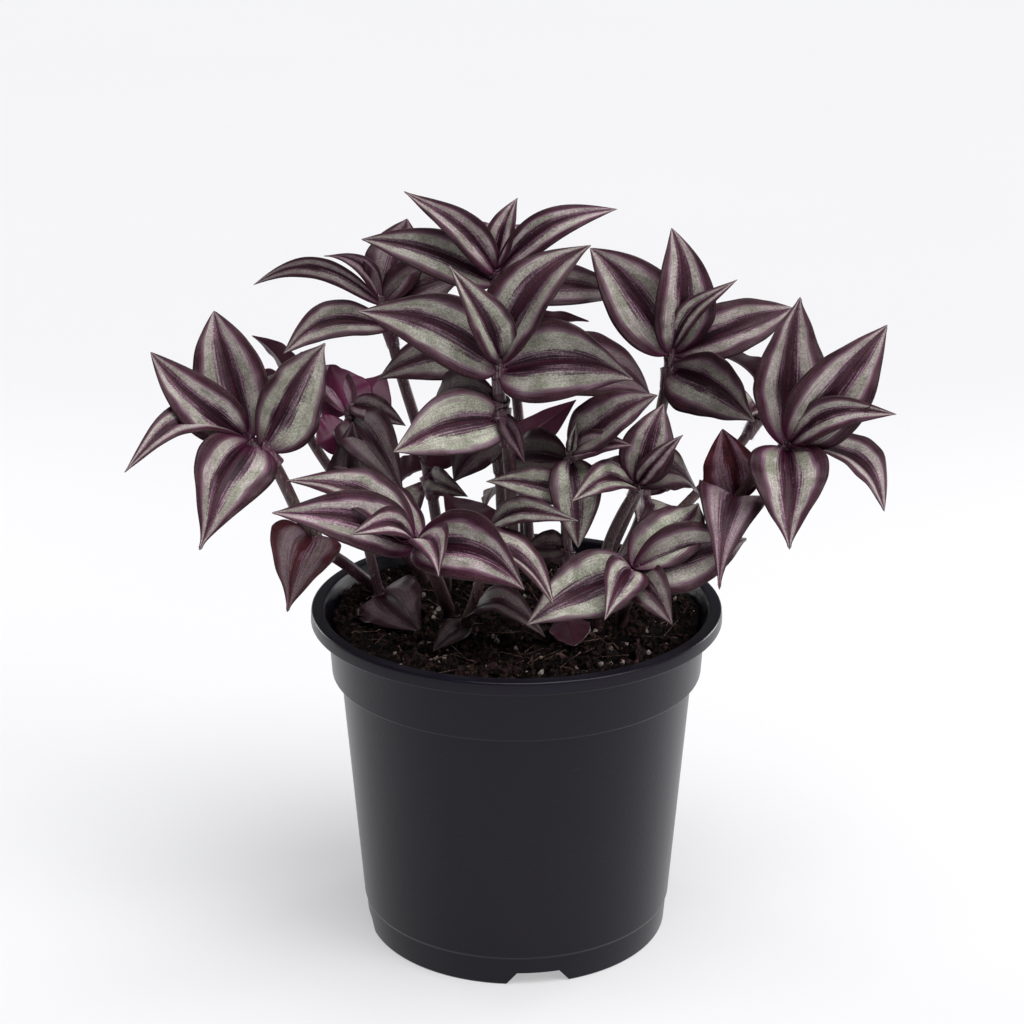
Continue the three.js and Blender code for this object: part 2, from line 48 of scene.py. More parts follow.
RIM_RADIUS = 51.0
POT_HEIGHT = 86.0
WALL = 1.3
LIP_DROP = 3.2
COLLAR_TOP_RADIUS = 47.0
COLLAR_BOTTOM_RADIUS = 46.2
STEP_HEIGHT = 69.2
BODY_TOP_RADIUS = 44.0
BODY_BOTTOM_RADIUS = 39.3
FOOT_TOP_RADIUS = 38.9
FOOT_RADIUS = 38.3
FOOT_HEIGHT = 7.4
FOOT_RING = 1.8
FLOOR_LIFT = 3.8
FLOOR_TOP = 5.1
NOTCHES = 4
NOTCH_TURN = 8          # degrees from the front to the first gap in the foot ring
NOTCH_WIDE = 16.0
NOTCH_NARROW = 10.5
NOTCH_HEIGHT = 3.3
DRAIN_RADIUS = 4.0
DRAIN_CIRCLE = 27.0

SOIL_TOP = 83.6
SOIL_DIP = 1.6          # how much lower the middle of the soil is than its edge
CLEARANCE = 0.45        # between the soil and the inside of the pot

BROADEST = 0.36         # where along a blade it is widest
BLUNT = 0.58            # how round the widest part is towards the stem
FRONT_LIGHT = (0, -0.8, 0.6)    # the way that the blades of the front shoots face

# The shoots, as in the part's own source. Points and widths are in millimetres.
# girth is the stem's width, and stem its points from the soil to the tip of the shoot.
# Each leaf has: the place on the stem that it grows from (0 at the soil, 1 at the tip), the
# point where it ends, its width, its arch (how far its middle is raised, as a share of its
# length), its roll about the rib in degrees, its sweep (as arch, but to one side), its taper
# (over 1 is a longer, thinner point) and its fold (how steeply each half rises from the rib,
# in degrees).
SHOOTS = {
    "shoot_crown": {
        "girth": 2.8,
        "stem": [[-3, 9, 85], [-4, 8, 118], [-5, 8, 151], [-5, 8, 169]],
        "leaves": {
            "hooked_left": [0.98, [-27.5, 6, 188], 9.5, 0.13, -10, 0.07, 1.1, 20],
            "young_top": [1.0, [0, 11, 186], 9, 0.1, -5, -0.03, 1.0, 30],
            "drooping_right": [0.98, [24.8, 12, 183], 9.5, 0.16, 25, -0.13, 1.0, 20],
            "broad_left": [0.93, [-37.7, 8, 176.8], 13, 0.05, -15, 0.05, 1.0, 20],
            "behind_right": [0.91, [29, 24, 158], 12, 0.11, 15, -0.02, 1.2, 20],
            "back": [0.95, [-3, 40, 172], 15, 0.14, 0, 0, 1.0, 20],
            "lower_left": [0.63, [-35, 8, 142], 15, 0.12, -10, 0.04, 1.1, 20],
            "lower_dark": [0.42, [-16, 2, 117], 13, 0.14, 0, 0.05, 1.0, 20],
            "red_right": [0.38, [15, 16, 134], 10, 0.08, 180, 0, 1.0, 20],
        },
    },
    "shoot_centre": {
        "girth": 3.0,
        "stem": [[-1, -3, 85], [-1, -12, 110], [-2, -14, 130], [-4, -13, 140], [-4, -12, 152]],
        "leaves": {
            "long_left": [0.96, [-37.3, -18, 165], 18, -0.05, -25, 0.11, 1.1, 20],
            "young_left": [1.0, [-15.8, -17, 175.6], 13, 0.16, 5, -0.01, 1.1, 30],
            "tall_right": [0.98, [16.8, -8, 179.5], 17.5, 0.13, -12, -0.06, 1.0, 20],
            "broad_right": [0.94, [27.3, -24, 151.3], 21.5, -0.07, 22, -0.09, 1.1, 20],
            "behind_right": [0.91, [34, 9, 138], 17, 0.16, 10, -0.06, 0.9, 20],
            "pale_left": [0.68, [-28, -36, 136], 17, -0.05, -20, 0.08, 1.0, 20],
            "behind_left": [0.8, [-21, 4, 135], 14, 0.12, -10, 0.05, 1.0, 20],
            "sheath_leaf": [0.72, [2, -21, 129], 6, 0.1, 0, 0, 1.0, 30],
        },
    },
    "shoot_right_top": {
        "girth": 2.8,
        "stem": [[19, 8, 85], [32, 8, 118], [36, 8, 136], [38, 8, 149]],
        "leaves": {
            "broad_left": [0.97, [18.3, 13, 174], 19.5, 0.05, -10, 0.03, 0.9, 20],
            "upright": [0.97, [38.3, 9, 179.1], 16.5, 0.13, 10, 0.04, 0.9, 20],
            "young_right": [1.0, [53, 2, 167.4], 7, 0.12, 10, -0.11, 1.0, 30],
            "broad_right": [0.96, [68.5, 14, 158], 15.5, 0.13, 0, 0.04, 0.9, 20],
            "lower_right": [0.87, [58, 1, 132], 19.5, 0.1, 45, -0.17, 1.1, 20],
            "back": [0.93, [41, 43, 150], 16, 0.14, 0, 0, 1.0, 20],
        },
    },
    "shoot_far_right": {
        "girth": 3.0,
        "stem": [[37, 5, 85], [53, -4, 113], [59, -12, 125], [65, -14, 132]],
        "leaves": {
            "tall": [0.94, [66.8, -3, 165.5], 22, 0.02, 20, -0.05, 1.1, 20],
            "upper_right": [0.99, [86.7, -13, 161.1], 19.5, 0.14, 20, -0.02, 1.0, 20],
            "young_right": [1.0, [88.6, -22, 141.4], 10, 0.14, 25, -0.18, 1.0, 25],
            "drooping_right": [0.93, [85, -34, 122], 15, 0.06, -30, -0.24, 0.9, 20],
            "hanging": [0.93, [62, -38, 114], 20.5, 0.08, 5, -0.02, 1.2, 20],
            "red_back": [0.36, [50, -2, 132], 16, 0.1, -30, 0.08, 0.9, 20],
            "low_hanging": [0.36, [46, -38, 105], 18, 0.25, 0, 0.05, 1.3, 14],
        },
    },
    "shoot_far_left": {
        "girth": 3.0,
        "stem": [[-35, 11, 85], [-42, 4, 94], [-50, -7, 106], [-58, -12, 126], [-65, -12, 133]],
        "leaves": {
            "tall": [0.95, [-72.9, 0, 161.2], 20, 0.03, -12, 0.01, 0.9, 20],
            "upper_left": [0.99, [-86, -16, 154.6], 14, 0.15, -8, -0.05, 0.9, 20],
            "long_left": [1.0, [-89.6, -35, 131], 9.5, 0.14, 5, 0.17, 1.0, 20],
            "hanging": [0.93, [-73, -33, 111], 21, 0.09, -25, 0.1, 1.4, 20],
            "upright_right": [0.85, [-46, 2, 153], 20, 0.11, 45, -0.1, 1.1, 20],
            "low_dull": [0.5, [-53, -35, 97], 19, 0.08, -20, 0.08, 1.3, 20],
        },
    },
    "shoot_left_top": {
        "girth": 2.8,
        "stem": [[-18, 16, 85], [-23, 20, 117], [-29, 24, 138], [-34, 28, 157]],
        "leaves": {
            "long_left": [0.97, [-67, 31, 160], 6.5, 0.15, -40, 0.25, 0.9, 20],
            "young_left": [1.0, [-48, 29, 168], 6, 0.13, -5, 0.16, 1.2, 25],
            "dull_up": [0.97, [-27, 40, 175], 16, 0.12, 5, 0, 1.0, 20],
            "dull_right": [0.96, [-13, 30, 162], 16, 0.12, 0, 0, 1.0, 20],
            "arched_left": [0.87, [-57, 8, 148], 11, -0.06, -10, 0.17, 0.9, 20],
            "plum_low": [0.42, [-13, 12, 119], 12, 0.1, 180, 0, 1.0, 20],
            "olive_low": [0.28, [-12, 6, 112], 8, 0.12, 20, 0.02, 1.0, 20],
        },
    },
    "shoot_left_mid": {
        "girth": 2.4,
        "stem": [[-34, 4, 85], [-38, 4, 104], [-41, 6, 118], [-41, 10, 134]],
        "leaves": {
            "dull_up": [0.5, [-40, -3, 134], 15, 0.08, 0, 0, 1.0, 20],
            "dull_down": [0.93, [-27, -12, 119], 15, 0.16, 0, 0, 1.0, 20],
            "grey_right": [1.0, [-27, 6, 130], 8, 0.2, 0, 0, 1.0, 20],
            "pink_left": [0.97, [-47, 22, 141], 15, 0.05, 170, 0, 1.0, 10],
            "pink_right": [0.97, [-33, 22, 139], 15, 0.05, 170, 0, 1.0, 10],
            "small_lobe": [0.95, [-50, 32, 139], 10, 0.05, 0, 0, 0.9, 20],
            "pink_low": [0.9, [-49, 2, 126], 12, 0.05, 165, 0, 1.0, 10],
            "low_purple": [0.02, [-24, -17, 85], 18, 0.05, 0, 0, 1.0, 12],
        },
    },
    "shoot_front_left": {
        "girth": 3.2,
        "stem": [[-17, -2, 85], [-20, -19, 101], [-24, -34, 114]],
        "leaves": {
            "long_left": [0.97, [-56, -42, 124], 15.5, 0.07, -5, 0.06, 1.1, 20],
            "upper_left": [1.0, [-54, -30, 128], 14, 0.13, 20, 0.08, 1.1, 20],
            "pink_edge": [0.88, [-44, -14, 127], 11, 0.12, 60, 0.1, 1.0, 20],
            "small_arched": [0.98, [-37, -52, 122], 9, 0.11, 0, 0.12, 1.0, 20],
            "small_heart": [0.97, [-17, -55, 114], 11, 0.13, 0, -0.13, 1.1, 20],
            "broad_right": [0.94, [2, -55, 111], 18, -0.04, 15, -0.12, 1.0, 20],
            "lower_right": [0.85, [9, -51, 106], 15, 0.1, -45, -0.17, 0.9, 20],
        },
    },
    "shoot_middle_low": {
        "girth": 2.4,
        "stem": [[-13, -14, 85], [-9, -19, 98], [-6, -21, 113.5]],
        "leaves": {
            "pale_right": [1.0, [14, -34, 119], 8, 0.14, 0, -0.08, 1.0, 20],
            "maroon_left": [0.95, [-18, -9, 117], 14, 0.1, 180, 0, 1.0, 20],
            "low_arched": [0.04, [7, -25, 87], 13, 0.34, -35, 0, 1.0, 15],
            "small_grey": [0.02, [-20, -28, 84.5], 7, 0.06, 0, 0, 1.0, 15],
        },
    },
    "shoot_right_mid": {
        "girth": 2.6,
        "stem": [[12, -12, 85], [12, -12, 104], [12, -12, 117], [13, -12, 129]],
        "leaves": {
            "upper_right": [1.0, [33, -16, 145], 14, 0.08, -10, -0.01, 0.9, 20],
            "small_red": [0.97, [27, -22, 134], 8, 0.1, 0, -0.05, 1.0, 20],
            "young": [1.0, [14, -15, 137], 4, 0.05, 0, 0, 1.0, 35],
            "hanging": [0.95, [14, -27, 110], 13.5, 0.09, 0, -0.02, 0.9, 20],
            "pale_left": [0.71, [-7, -23, 126], 9.5, 0.1, -15, 0.02, 1.0, 20],
            "dark_left": [0.93, [-3, 2, 122], 14, 0.14, 0, 0, 1.0, 20],
            "dark_low": [0.34, [1, -14, 105], 9, 0.12, 0, 0, 1.0, 20],
            "red_low": [0.05, [14, -31, 86], 11, -0.08, 180, 0, 1.0, 20],
        },
    },
    "shoot_right_low": {
        "girth": 2.6,
        "stem": [[20, -9, 85], [22, -10, 104], [29, -12, 121]],
        "leaves": {
            "upright": [1.0, [35, -7, 140], 14.5, 0.12, 10, -0.04, 1.0, 20],
            "young_right": [1.0, [39, -16, 135], 7, 0.12, 10, -0.01, 1.0, 30],
            "broad_right": [0.97, [45, -1, 115], 18, 0.12, -20, -0.2, 0.9, 20],
            "pale_left": [0.96, [13, -35, 124], 10, 0.08, 0, 0.11, 1.0, 20],
        },
    },
    "shoot_front_right": {
        "girth": 3.0,
        "stem": [[26, -6, 85], [27, -18, 95], [27, -30, 106]],
        "leaves": {
            "upper_right": [1.0, [45, -10, 116], 16.5, 0.1, -5, 0.07, 1.2, 20],
            "broad_right": [0.97, [56, -19, 109], 18, 0.12, 20, -0.03, 1.2, 20],
            "silver_left": [0.94, [2, -48, 100], 17.5, 0.02, -5, 0.02, 1.0, 20],
            "small_heart": [0.97, [20, -51, 102], 12, 0.09, -15, 0.06, 1.1, 20],
            "low_point": [0.88, [36, -42, 97], 12, 0.14, 0, 0, 1.0, 20],
        },
    },
}

# Shoots at the back, whose leaves stand round their tips: light is the way that the blades
# face, reach how far their points stand out, and turn where the first of them points.
ROUND_SHOOTS = {
    "shoot_back_crown": {
        "girth": 2.6, "stem": [[4, 24, 85], [2, 30, 110], [0, 34, 130], [-1, 36, 142]],
        "light": [0, 0.5, 1], "reach": 24, "leaf_count": 6, "turn": 80, "seed": 3,
    },
    "shoot_back_left": {
        "girth": 2.6, "stem": [[-24, 22, 85], [-41, 28, 102], [-53, 35, 117], [-58, 37, 130]],
        "light": [-0.5, 0.5, 1], "reach": 19, "leaf_count": 6, "turn": 150, "seed": 5,
    },
    "shoot_back_right": {
        "girth": 2.6, "stem": [[24, 22, 85], [43, 26, 102], [58, 33, 117], [66, 36, 130]],
        "light": [0.5, 0.5, 1], "reach": 20, "leaf_count": 6, "turn": 40, "seed": 8,
    },
    "shoot_back_low": {
        "girth": 2.4, "stem": [[2, 36, 85], [2, 41, 96], [2, 42, 105]],
        "light": [0, 0.8, 1], "reach": 15, "leaf_count": 5, "turn": 40, "seed": 12,
    },
    "shoot_back_left_low": {
        "girth": 2.4, "stem": [[-26, 27, 85], [-31, 38, 94], [-33, 43, 102]],
        "light": [-0.5, 0.8, 1], "reach": 16, "leaf_count": 5, "turn": 110, "seed": 17,
    },
    "shoot_back_right_low": {
        "girth": 2.4, "stem": [[26, 27, 85], [32, 37, 94], [34, 41, 102]],
        "light": [0.5, 0.8, 1], "reach": 16, "leaf_count": 5, "turn": 60, "seed": 21,
    },
}

# how the leaves of a round shoot stand around the tip of its stem
GOLDEN_TURN = 137.5     # degrees from one leaf to the next
FIRST_RISE = 0.75       # rise of the first leaf's point over the stem's tip, as a share of the reach
LAST_RISE = -0.35
FIRST_REACH = 0.7       # the first leaf is shorter and narrower than the others
FIRST_WIDTH = 0.6
TOP_JOINT = 0.99        # place of the first leaf on the stem
LEAF_STEP = 0.035       # from one leaf to the next along the stem, as a share of its length
ROUND_WIDTH = 15.0
ROUND_ARCH = 0.14
ROUND_TAPER = 1.0
ROUND_FOLD = 20

# how a leaf is coloured: pink in the bands, strength of the bands, darkness (painted shade that darkens the
# whole leaf), width of the bands
PLAIN = (0.25, 0.85, 0.1, 0.15)
LOOKS = {
    "shoot_crown": {
        "all": (0.90, 1.0, 0.0, 0.35), "broad_left": (0.25, 0.9, 0.05, 0.21),
        "lower_left": (0.15, 0.65, 0.40, 0.17), "lower_dark": (0.3, 0.35, 0.75, 0.1),
        "behind_right": (0.45, 0.55, 0.35, 0.1), "red_right": (0.1, 0.3, 0.2, 0.1),
    },
    "shoot_centre": {
        "all": (0.15, 0.92, 0.0, 0.15), "broad_right": (0.15, 0.78, 0.06, 0.15),
        "pale_left": (0.15, 1.0, 0.0, 0.65), "long_left": (0.25, 1.0, 0.0, 0.17),
        "tall_right": (0.2, 0.80, 0.10, 0.12), "behind_left": (0.1, 0.45, 0.65, 0.1),
        "behind_right": (0.6, 0.30, 0.45, 0.1), "sheath_leaf": (0.6, 0.15, 0.60, 0.1),
    },
    "shoot_right_top": {
        "all": (0.60, 1.0, 0.0, 0.25), "broad_left": (0.6, 1.0, 0.0, 0.35),
        "broad_right": (0.55, 0.8, 0.05, 0.07), "lower_right": (0.25, 0.75, 0.25, 0.1),
    },
    "shoot_far_right": {
        "all": (0.55, 0.9, 0.0, 0.1), "tall": (0.5, 0.85, 0.12, 0.1), "red_back": (0.9, 0.2, 0.0, 0.1),
        "low_hanging": (0.7, 0.40, 0.05, 0.1),
    },
    "shoot_far_left": {
        "all": (0.55, 0.9, 0.0, 0.12), "upright_right": (0.15, 0.9, 0.10, 0.4),
        "low_dull": (0.4, 0.25, 0.40, 0.1),
    },
    "shoot_left_top": {
        "all": (0.5, 0.65, 0.10, 0.1), "arched_left": (0.3, 0.75, 0.15, 0.14),
        "young_left": (0.7, 0.35, 0.30, 0.1), "dull_up": (0.5, 0.40, 0.45, 0.1),
        "dull_right": (0.4, 0.35, 0.60, 0.1), "plum_low": (0.2, 0.3, 0.82, 0.1),
        "olive_low": (0.1, 0.6, 0.45, 0.1),
    },
    "shoot_left_mid": {
        "all": (0.9, 0.35, 0.0, 0.1), "dull_up": (0.3, 0.40, 0.60, 0.1),
        "dull_down": (0.4, 0.40, 0.60, 0.1), "small_lobe": (0.9, 0.25, 0.0, 0.1),
        "grey_right": (0.3, 0.35, 0.40, 0.1), "low_purple": (0.4, 0.25, 0.60, 0.1),
    },
    "shoot_front_left": {
        "all": (0.85, 1.0, 0.0, 0.25), "upper_left": (0.5, 0.95, 0.0, 0.21),
        "lower_right": (0.40, 0.95, 0.05, 0.17),
    },
    "shoot_middle_low": {
        "all": (0.15, 0.8, 0.15, 0.4), "maroon_left": (0.2, 0.3, 0.55, 0.1),
        "low_arched": (0.25, 0.45, 0.55, 0.07), "small_grey": (0.2, 0.35, 0.75, 0.1),
    },
    "shoot_right_mid": {
        "all": (0.10, 0.95, 0.10, 0.4), "upper_right": (0.30, 0.70, 0.25, 0.1),
        "small_red": (0.8, 0.45, 0.15, 0.1), "dark_left": (0.15, 0.40, 0.65, 0.1),
        "dark_low": (0.15, 0.35, 0.75, 0.1), "red_low": (0.1, 0.3, 0.35, 0.1),
    },
    "shoot_right_low": {
        "all": (0.15, 0.95, 0.05, 0.21), "upright": (0.5, 0.75, 0.10, 0.14),
        "young_right": (0.7, 0.75, 0.10, 0.1), "broad_right": (0.1, 0.50, 0.50, 0.1),
    },
    "shoot_front_right": {
        "all": (0.15, 1.0, 0.0, 0.3), "silver_left": (0.1, 1.0, 0.0, 0.6),
        "small_heart": (0.4, 1.0, 0.0, 0.17), "broad_right": (0.3, 0.75, 0.15, 0.14),
        "low_point": (0.2, 0.55, 0.40, 0.17),
    },
}
RED_LEAVES = ("shoot_crown.red_right", "shoot_far_right.red_back", "shoot_right_mid.red_low",
              "shoot_middle_low.maroon_left", "shoot_far_left.low_dull")


def look_of(shoot, leaf):
    looks = LOOKS.get(shoot, {})
    return looks.get(leaf, looks.get("all", PLAIN))


def wobble(seed, k):
    """A fixed number from -1 to 1 that looks random."""
    return math.sin(seed * 12.9898 + k * 78.233)


def unit(v):
    return v / np.linalg.norm(v)


# ---- node helpers

def plug(tree, socket, value):
    """Joins a node or one of its outputs to the socket, or sets a constant on it."""
    if isinstance(value, bpy.types.Node):
        value = next(s for s in value.outputs if s.enabled)
    if isinstance(value, bpy.types.NodeSocket):
        tree.links.new(value, socket)
    elif socket.type == "RGBA":
        socket.default_value = (*value, 1.0)
    else:
        socket.default_value = value


def add_node(tree, kind, settings=None, **inputs):
    """A node with its inputs by name, or by number as i0, i1 and so on."""
    node = tree.nodes.new(kind)
    for name, value in (settings or {}).items():
        setattr(node, name, value)
    for name, value in inputs.items():
        key = int(name[1:]) if name[0] == "i" and name[1:].isdigit() else name.replace("_", " ")
        plug(tree, node.inputs[key], value)
    return node


def maths(tree, kind, *values):
    inputs = {f"i{k}": value for k, value in enumerate(values)}
    return add_node(tree, "ShaderNodeMath", {"operation": kind}, **inputs).outputs[0]


def plus(tree, a, b):
    return maths(tree, "ADD", a, b)


def times(tree, a, b):
    return maths(tree, "MULTIPLY", a, b)


def scaled(tree, value, factor, offset):
    return maths(tree, "MULTIPLY_ADD", value, factor, offset)


def smooth_step(tree, value, low, high):
    """0 below low, 1 above high and a smooth rise between them."""
    return add_node(tree, "ShaderNodeMapRange", {"interpolation_type": "SMOOTHSTEP"},
                    i0=value, i1=low, i2=high, i3=0.0, i4=1.0).outputs[0]


def blend_colour(tree, share, a, b, kind="MIX"):
    return add_node(tree, "ShaderNodeMix", {"data_type": "RGBA", "blend_type": kind},
                    i0=share, i6=a, i7=b).outputs[2]


def tinted(tree, colour, tint, share, strength=1.0):
    """The colour with a share of a tint over it."""
    if strength != 1.0:
        share = times(tree, share, strength)
    return blend_colour(tree, share, colour, tint)


def shaded(tree, colour, brightness):
    grey = add_node(tree, "ShaderNodeCombineColor", Red=brightness, Green=brightness, Blue=brightness)
    return blend_colour(tree, 1.0, colour, grey, "MULTIPLY")


def ramp(tree, share, stops):
    """Colours at places from 0 to 1, with eased steps between them."""
    node = add_node(tree, "ShaderNodeValToRGB", Fac=share)
    node.color_ramp.interpolation = "EASE"
    elements = node.color_ramp.elements
    while len(elements) < len(stops):
        elements.new(0.5)
    for element, (place, colour) in zip(elements, stops):
        element.position = place
        element.color = (*colour, 1.0)
    return node.outputs[0]


def plateau(tree, value, rise, top, fall, bottom):
    """1 from top to fall, 0 before rise and after bottom."""
    black, white = (0, 0, 0), (1, 1, 1)
    return ramp(tree, value, [(0.0, black), (rise, black), (top, white), (fall, white),
                              (bottom, black), (1.0, black)])


def vector_maths(tree, kind, a, b):
    return add_node(tree, "ShaderNodeVectorMath", {"operation": kind}, i0=a, i1=b).outputs[0]


def grain(tree, where, scale, detail=2.0, rough=0.5, size=(1, 1, 1), shift=None):
    """Noise over a place that is first stretched by size and then shifted."""
    place = vector_maths(tree, "MULTIPLY", where, size)
    if shift is not None:
        place = vector_maths(tree, "ADD", place, shift)
    return add_node(tree, "ShaderNodeTexNoise", Vector=place, Scale=scale, Detail=detail,
                    Roughness=rough).outputs[0]


def bump(tree, height, strength, distance):
    return add_node(tree, "ShaderNodeBump", Strength=strength, Distance=distance,
                    Height=height).outputs[0]


def new_material(name):
    """A material with one shader, its tree, and the place on the piece that its grain follows."""
    material = bpy.data.materials.new(name)
    material.use_nodes = True
    tree = material.node_tree
    tree.nodes.clear()
    shader = tree.nodes.new("ShaderNodeBsdfPrincipled")
    end = tree.nodes.new("ShaderNodeOutputMaterial")
    tree.links.new(shader.outputs[0], end.inputs[0])
    return material, tree, add_node(tree, "ShaderNodeTexCoord").outputs["Object"]


def coat(material, **inputs):
    """Sets the inputs of the material's shader by their names."""
    tree = material.node_tree
    shader = next(node for node in tree.nodes if node.type == "BSDF_PRINCIPLED")
    for name, value in inputs.items():
        plug(tree, shader.inputs[name.replace("_", " ")], value)
    return material


# ---- leaf finishes

# purple ground of a blade from its rib to its edge: nearly black by the rib near the stem,
# greyish purple towards the point
NEAR_STEM = [(0.0, (0.046, 0.004, 0.018)), (0.08, (0.012, 0.002, 0.005)),
             (0.30, (0.011, 0.002, 0.005)), (0.70, (0.040, 0.009, 0.019)),
             (0.90, (0.038, 0.012, 0.019)), (1.0, (0.026, 0.011, 0.013))]
NEAR_TIP = [(0.0, (0.040, 0.014, 0.022)), (0.10, (0.085, 0.036, 0.050)),
            (0.32, (0.056, 0.022, 0.034)), (0.72, (0.072, 0.027, 0.042)),
            (0.90, (0.056, 0.024, 0.031)), (1.0, (0.040, 0.021, 0.024))]
DARK_CLOUD = (0.012, 0.003, 0.005)
VEIN_PINK = (0.130, 0.056, 0.086)
RED_BRIGHT = (0.108, 0.019, 0.025)
RED_DEEP = (0.055, 0.012, 0.016)
MAUVE_GREY = (0.215, 0.145, 0.180)
MAUVE_PINK = (0.340, 0.175, 0.260)
SILVER_GREEN = (0.465, 0.485, 0.385)
SILVER_PINK = (0.560, 0.475, 0.480)
# painted shade: the silver of the bands as it looks in shade, laid on in patches
SILVER_IN_PAINTED_SHADE = (0.255, 0.275, 0.200)
SILVER_BROWN = (0.300, 0.255, 0.240)
LILAC = (0.250, 0.160, 0.205)
MAGENTA = (0.085, 0.008, 0.040)
EDGE_PALE = (0.22, 0.18, 0.17)
# painted shade: the near-black that a leaf's upper skin is darkened towards by its darkness value
PAINTED_SHADE_UPPER = (0.013, 0.005, 0.006)

PLUM = [(0.0, (0.110, 0.020, 0.055)), (0.06, (0.052, 0.007, 0.020)),
        (0.8, (0.062, 0.009, 0.025)), (1.0, (0.090, 0.022, 0.045))]
PLUM_VEIN = (0.034, 0.005, 0.014)
PLUM_CLOUD = (0.11, 0.04, 0.06)
PLUM_PINK = (0.130, 0.007, 0.062)
# painted shade: the near-black that a leaf's underside is darkened towards by its darkness value
PAINTED_SHADE_UNDER = (0.016, 0.004, 0.007)


def leaf_values(tree):
    """Where a spot lies on its blade, and the numbers that its leaf is coloured by."""
    uv = add_node(tree, "ShaderNodeUVMap", {"uv_map": "leaf_map"}).outputs[0]
    parts = add_node(tree, "ShaderNodeSeparateXYZ", Vector=uv)
    look_and_shade = add_node(tree, "ShaderNodeAttribute", {"attribute_name": "leaf_tone"})
    looks_and_shade = add_node(tree, "ShaderNodeSeparateColor", Color=look_and_shade.outputs["Color"])
    own = add_node(tree, "ShaderNodeAttribute", {"attribute_name": "leaf_own"}).outputs["Fac"]
    red = add_node(tree, "ShaderNodeAttribute", {"attribute_name": "leaf_red"}).outputs["Fac"]
    return SimpleNamespace(
        uv=uv,
        across=maths(tree, "ABSOLUTE", scaled(tree, parts.outputs[0], 2.0, -1.0)),
        along=parts.outputs[1],
        # dark is painted shade: how far the whole leaf is darkened towards near-black
        pink=looks_and_shade.outputs[0], strength=looks_and_shade.outputs[1], dark=looks_and_shade.outputs[2],
        wide=look_and_shade.outputs["Alpha"], red=red,
        shift=add_node(tree, "ShaderNodeCombineXYZ", X=own, Y=times(tree, own, 7.3), Z=own).outputs[0])


def band_edge(tree, leaf, sway, fray, specks):
    """The distance from the rib, made uneven so that the bands wander and fray along the veins."""
    edge = leaf.across
    for noise_value, swing in ((sway, 0.44), (fray, 0.36), (specks, 0.16)):
        edge = plus(tree, edge, scaled(tree, noise_value, swing, -swing / 2))
    narrower = times(tree, leaf.pink, smooth_step(tree, leaf.across, 0.3, 0.9))
    edge = plus(tree, edge, times(tree, narrower, 0.16))
    outward = times(tree, smooth_step(tree, leaf.across, 0.40, 0.95), -0.26)
    near_rib = maths(tree, "SUBTRACT", 1.0, leaf.across)
    inward = times(tree, smooth_step(tree, near_rib, 0.55, 0.95), 0.16)
    return scaled(tree, plus(tree, outward, inward), leaf.wide, edge)


def purple_ground(tree, leaf, cloud, lines):
    """The blade's own colour between its bands."""
    towards_tip = smooth_step(tree, scaled(tree, cloud, 0.4, leaf.along), 0.35, 1.15)
    ground = blend_colour(tree, towards_tip, ramp(tree, leaf.across, NEAR_STEM),
                          ramp(tree, leaf.across, NEAR_TIP))
    ground = tinted(tree, ground, DARK_CLOUD, smooth_step(tree, cloud, 0.42, 0.66), 0.6)
    ground = tinted(tree, ground, VEIN_PINK, lines, 0.32)
    ruddy = blend_colour(tree, smooth_step(tree, cloud, 0.35, 0.65), RED_BRIGHT, RED_DEEP)
    return tinted(tree, ground, ruddy, leaf.red, 0.8)


def silver_band(tree, leaf, cloud, fray):
    """The colour of the two pale bands: cooler or pinker by leaf, duller towards the point."""
    silver = blend_colour(tree, leaf.pink, SILVER_GREEN, SILVER_PINK)
    # patches of painted shade on the bands, where the cloud noise is high
    silver = tinted(tree, silver, SILVER_IN_PAINTED_SHADE, smooth_step(tree, cloud, 0.38, 0.66))
    silver = tinted(tree, silver, SILVER_BROWN, smooth_step(tree, leaf.along, 0.45, 1.0), 0.5)
    return tinted(tree, silver, LILAC, smooth_step(tree, fray, 0.50, 0.64),
                  scaled(tree, leaf.pink, 0.35, 0.30))


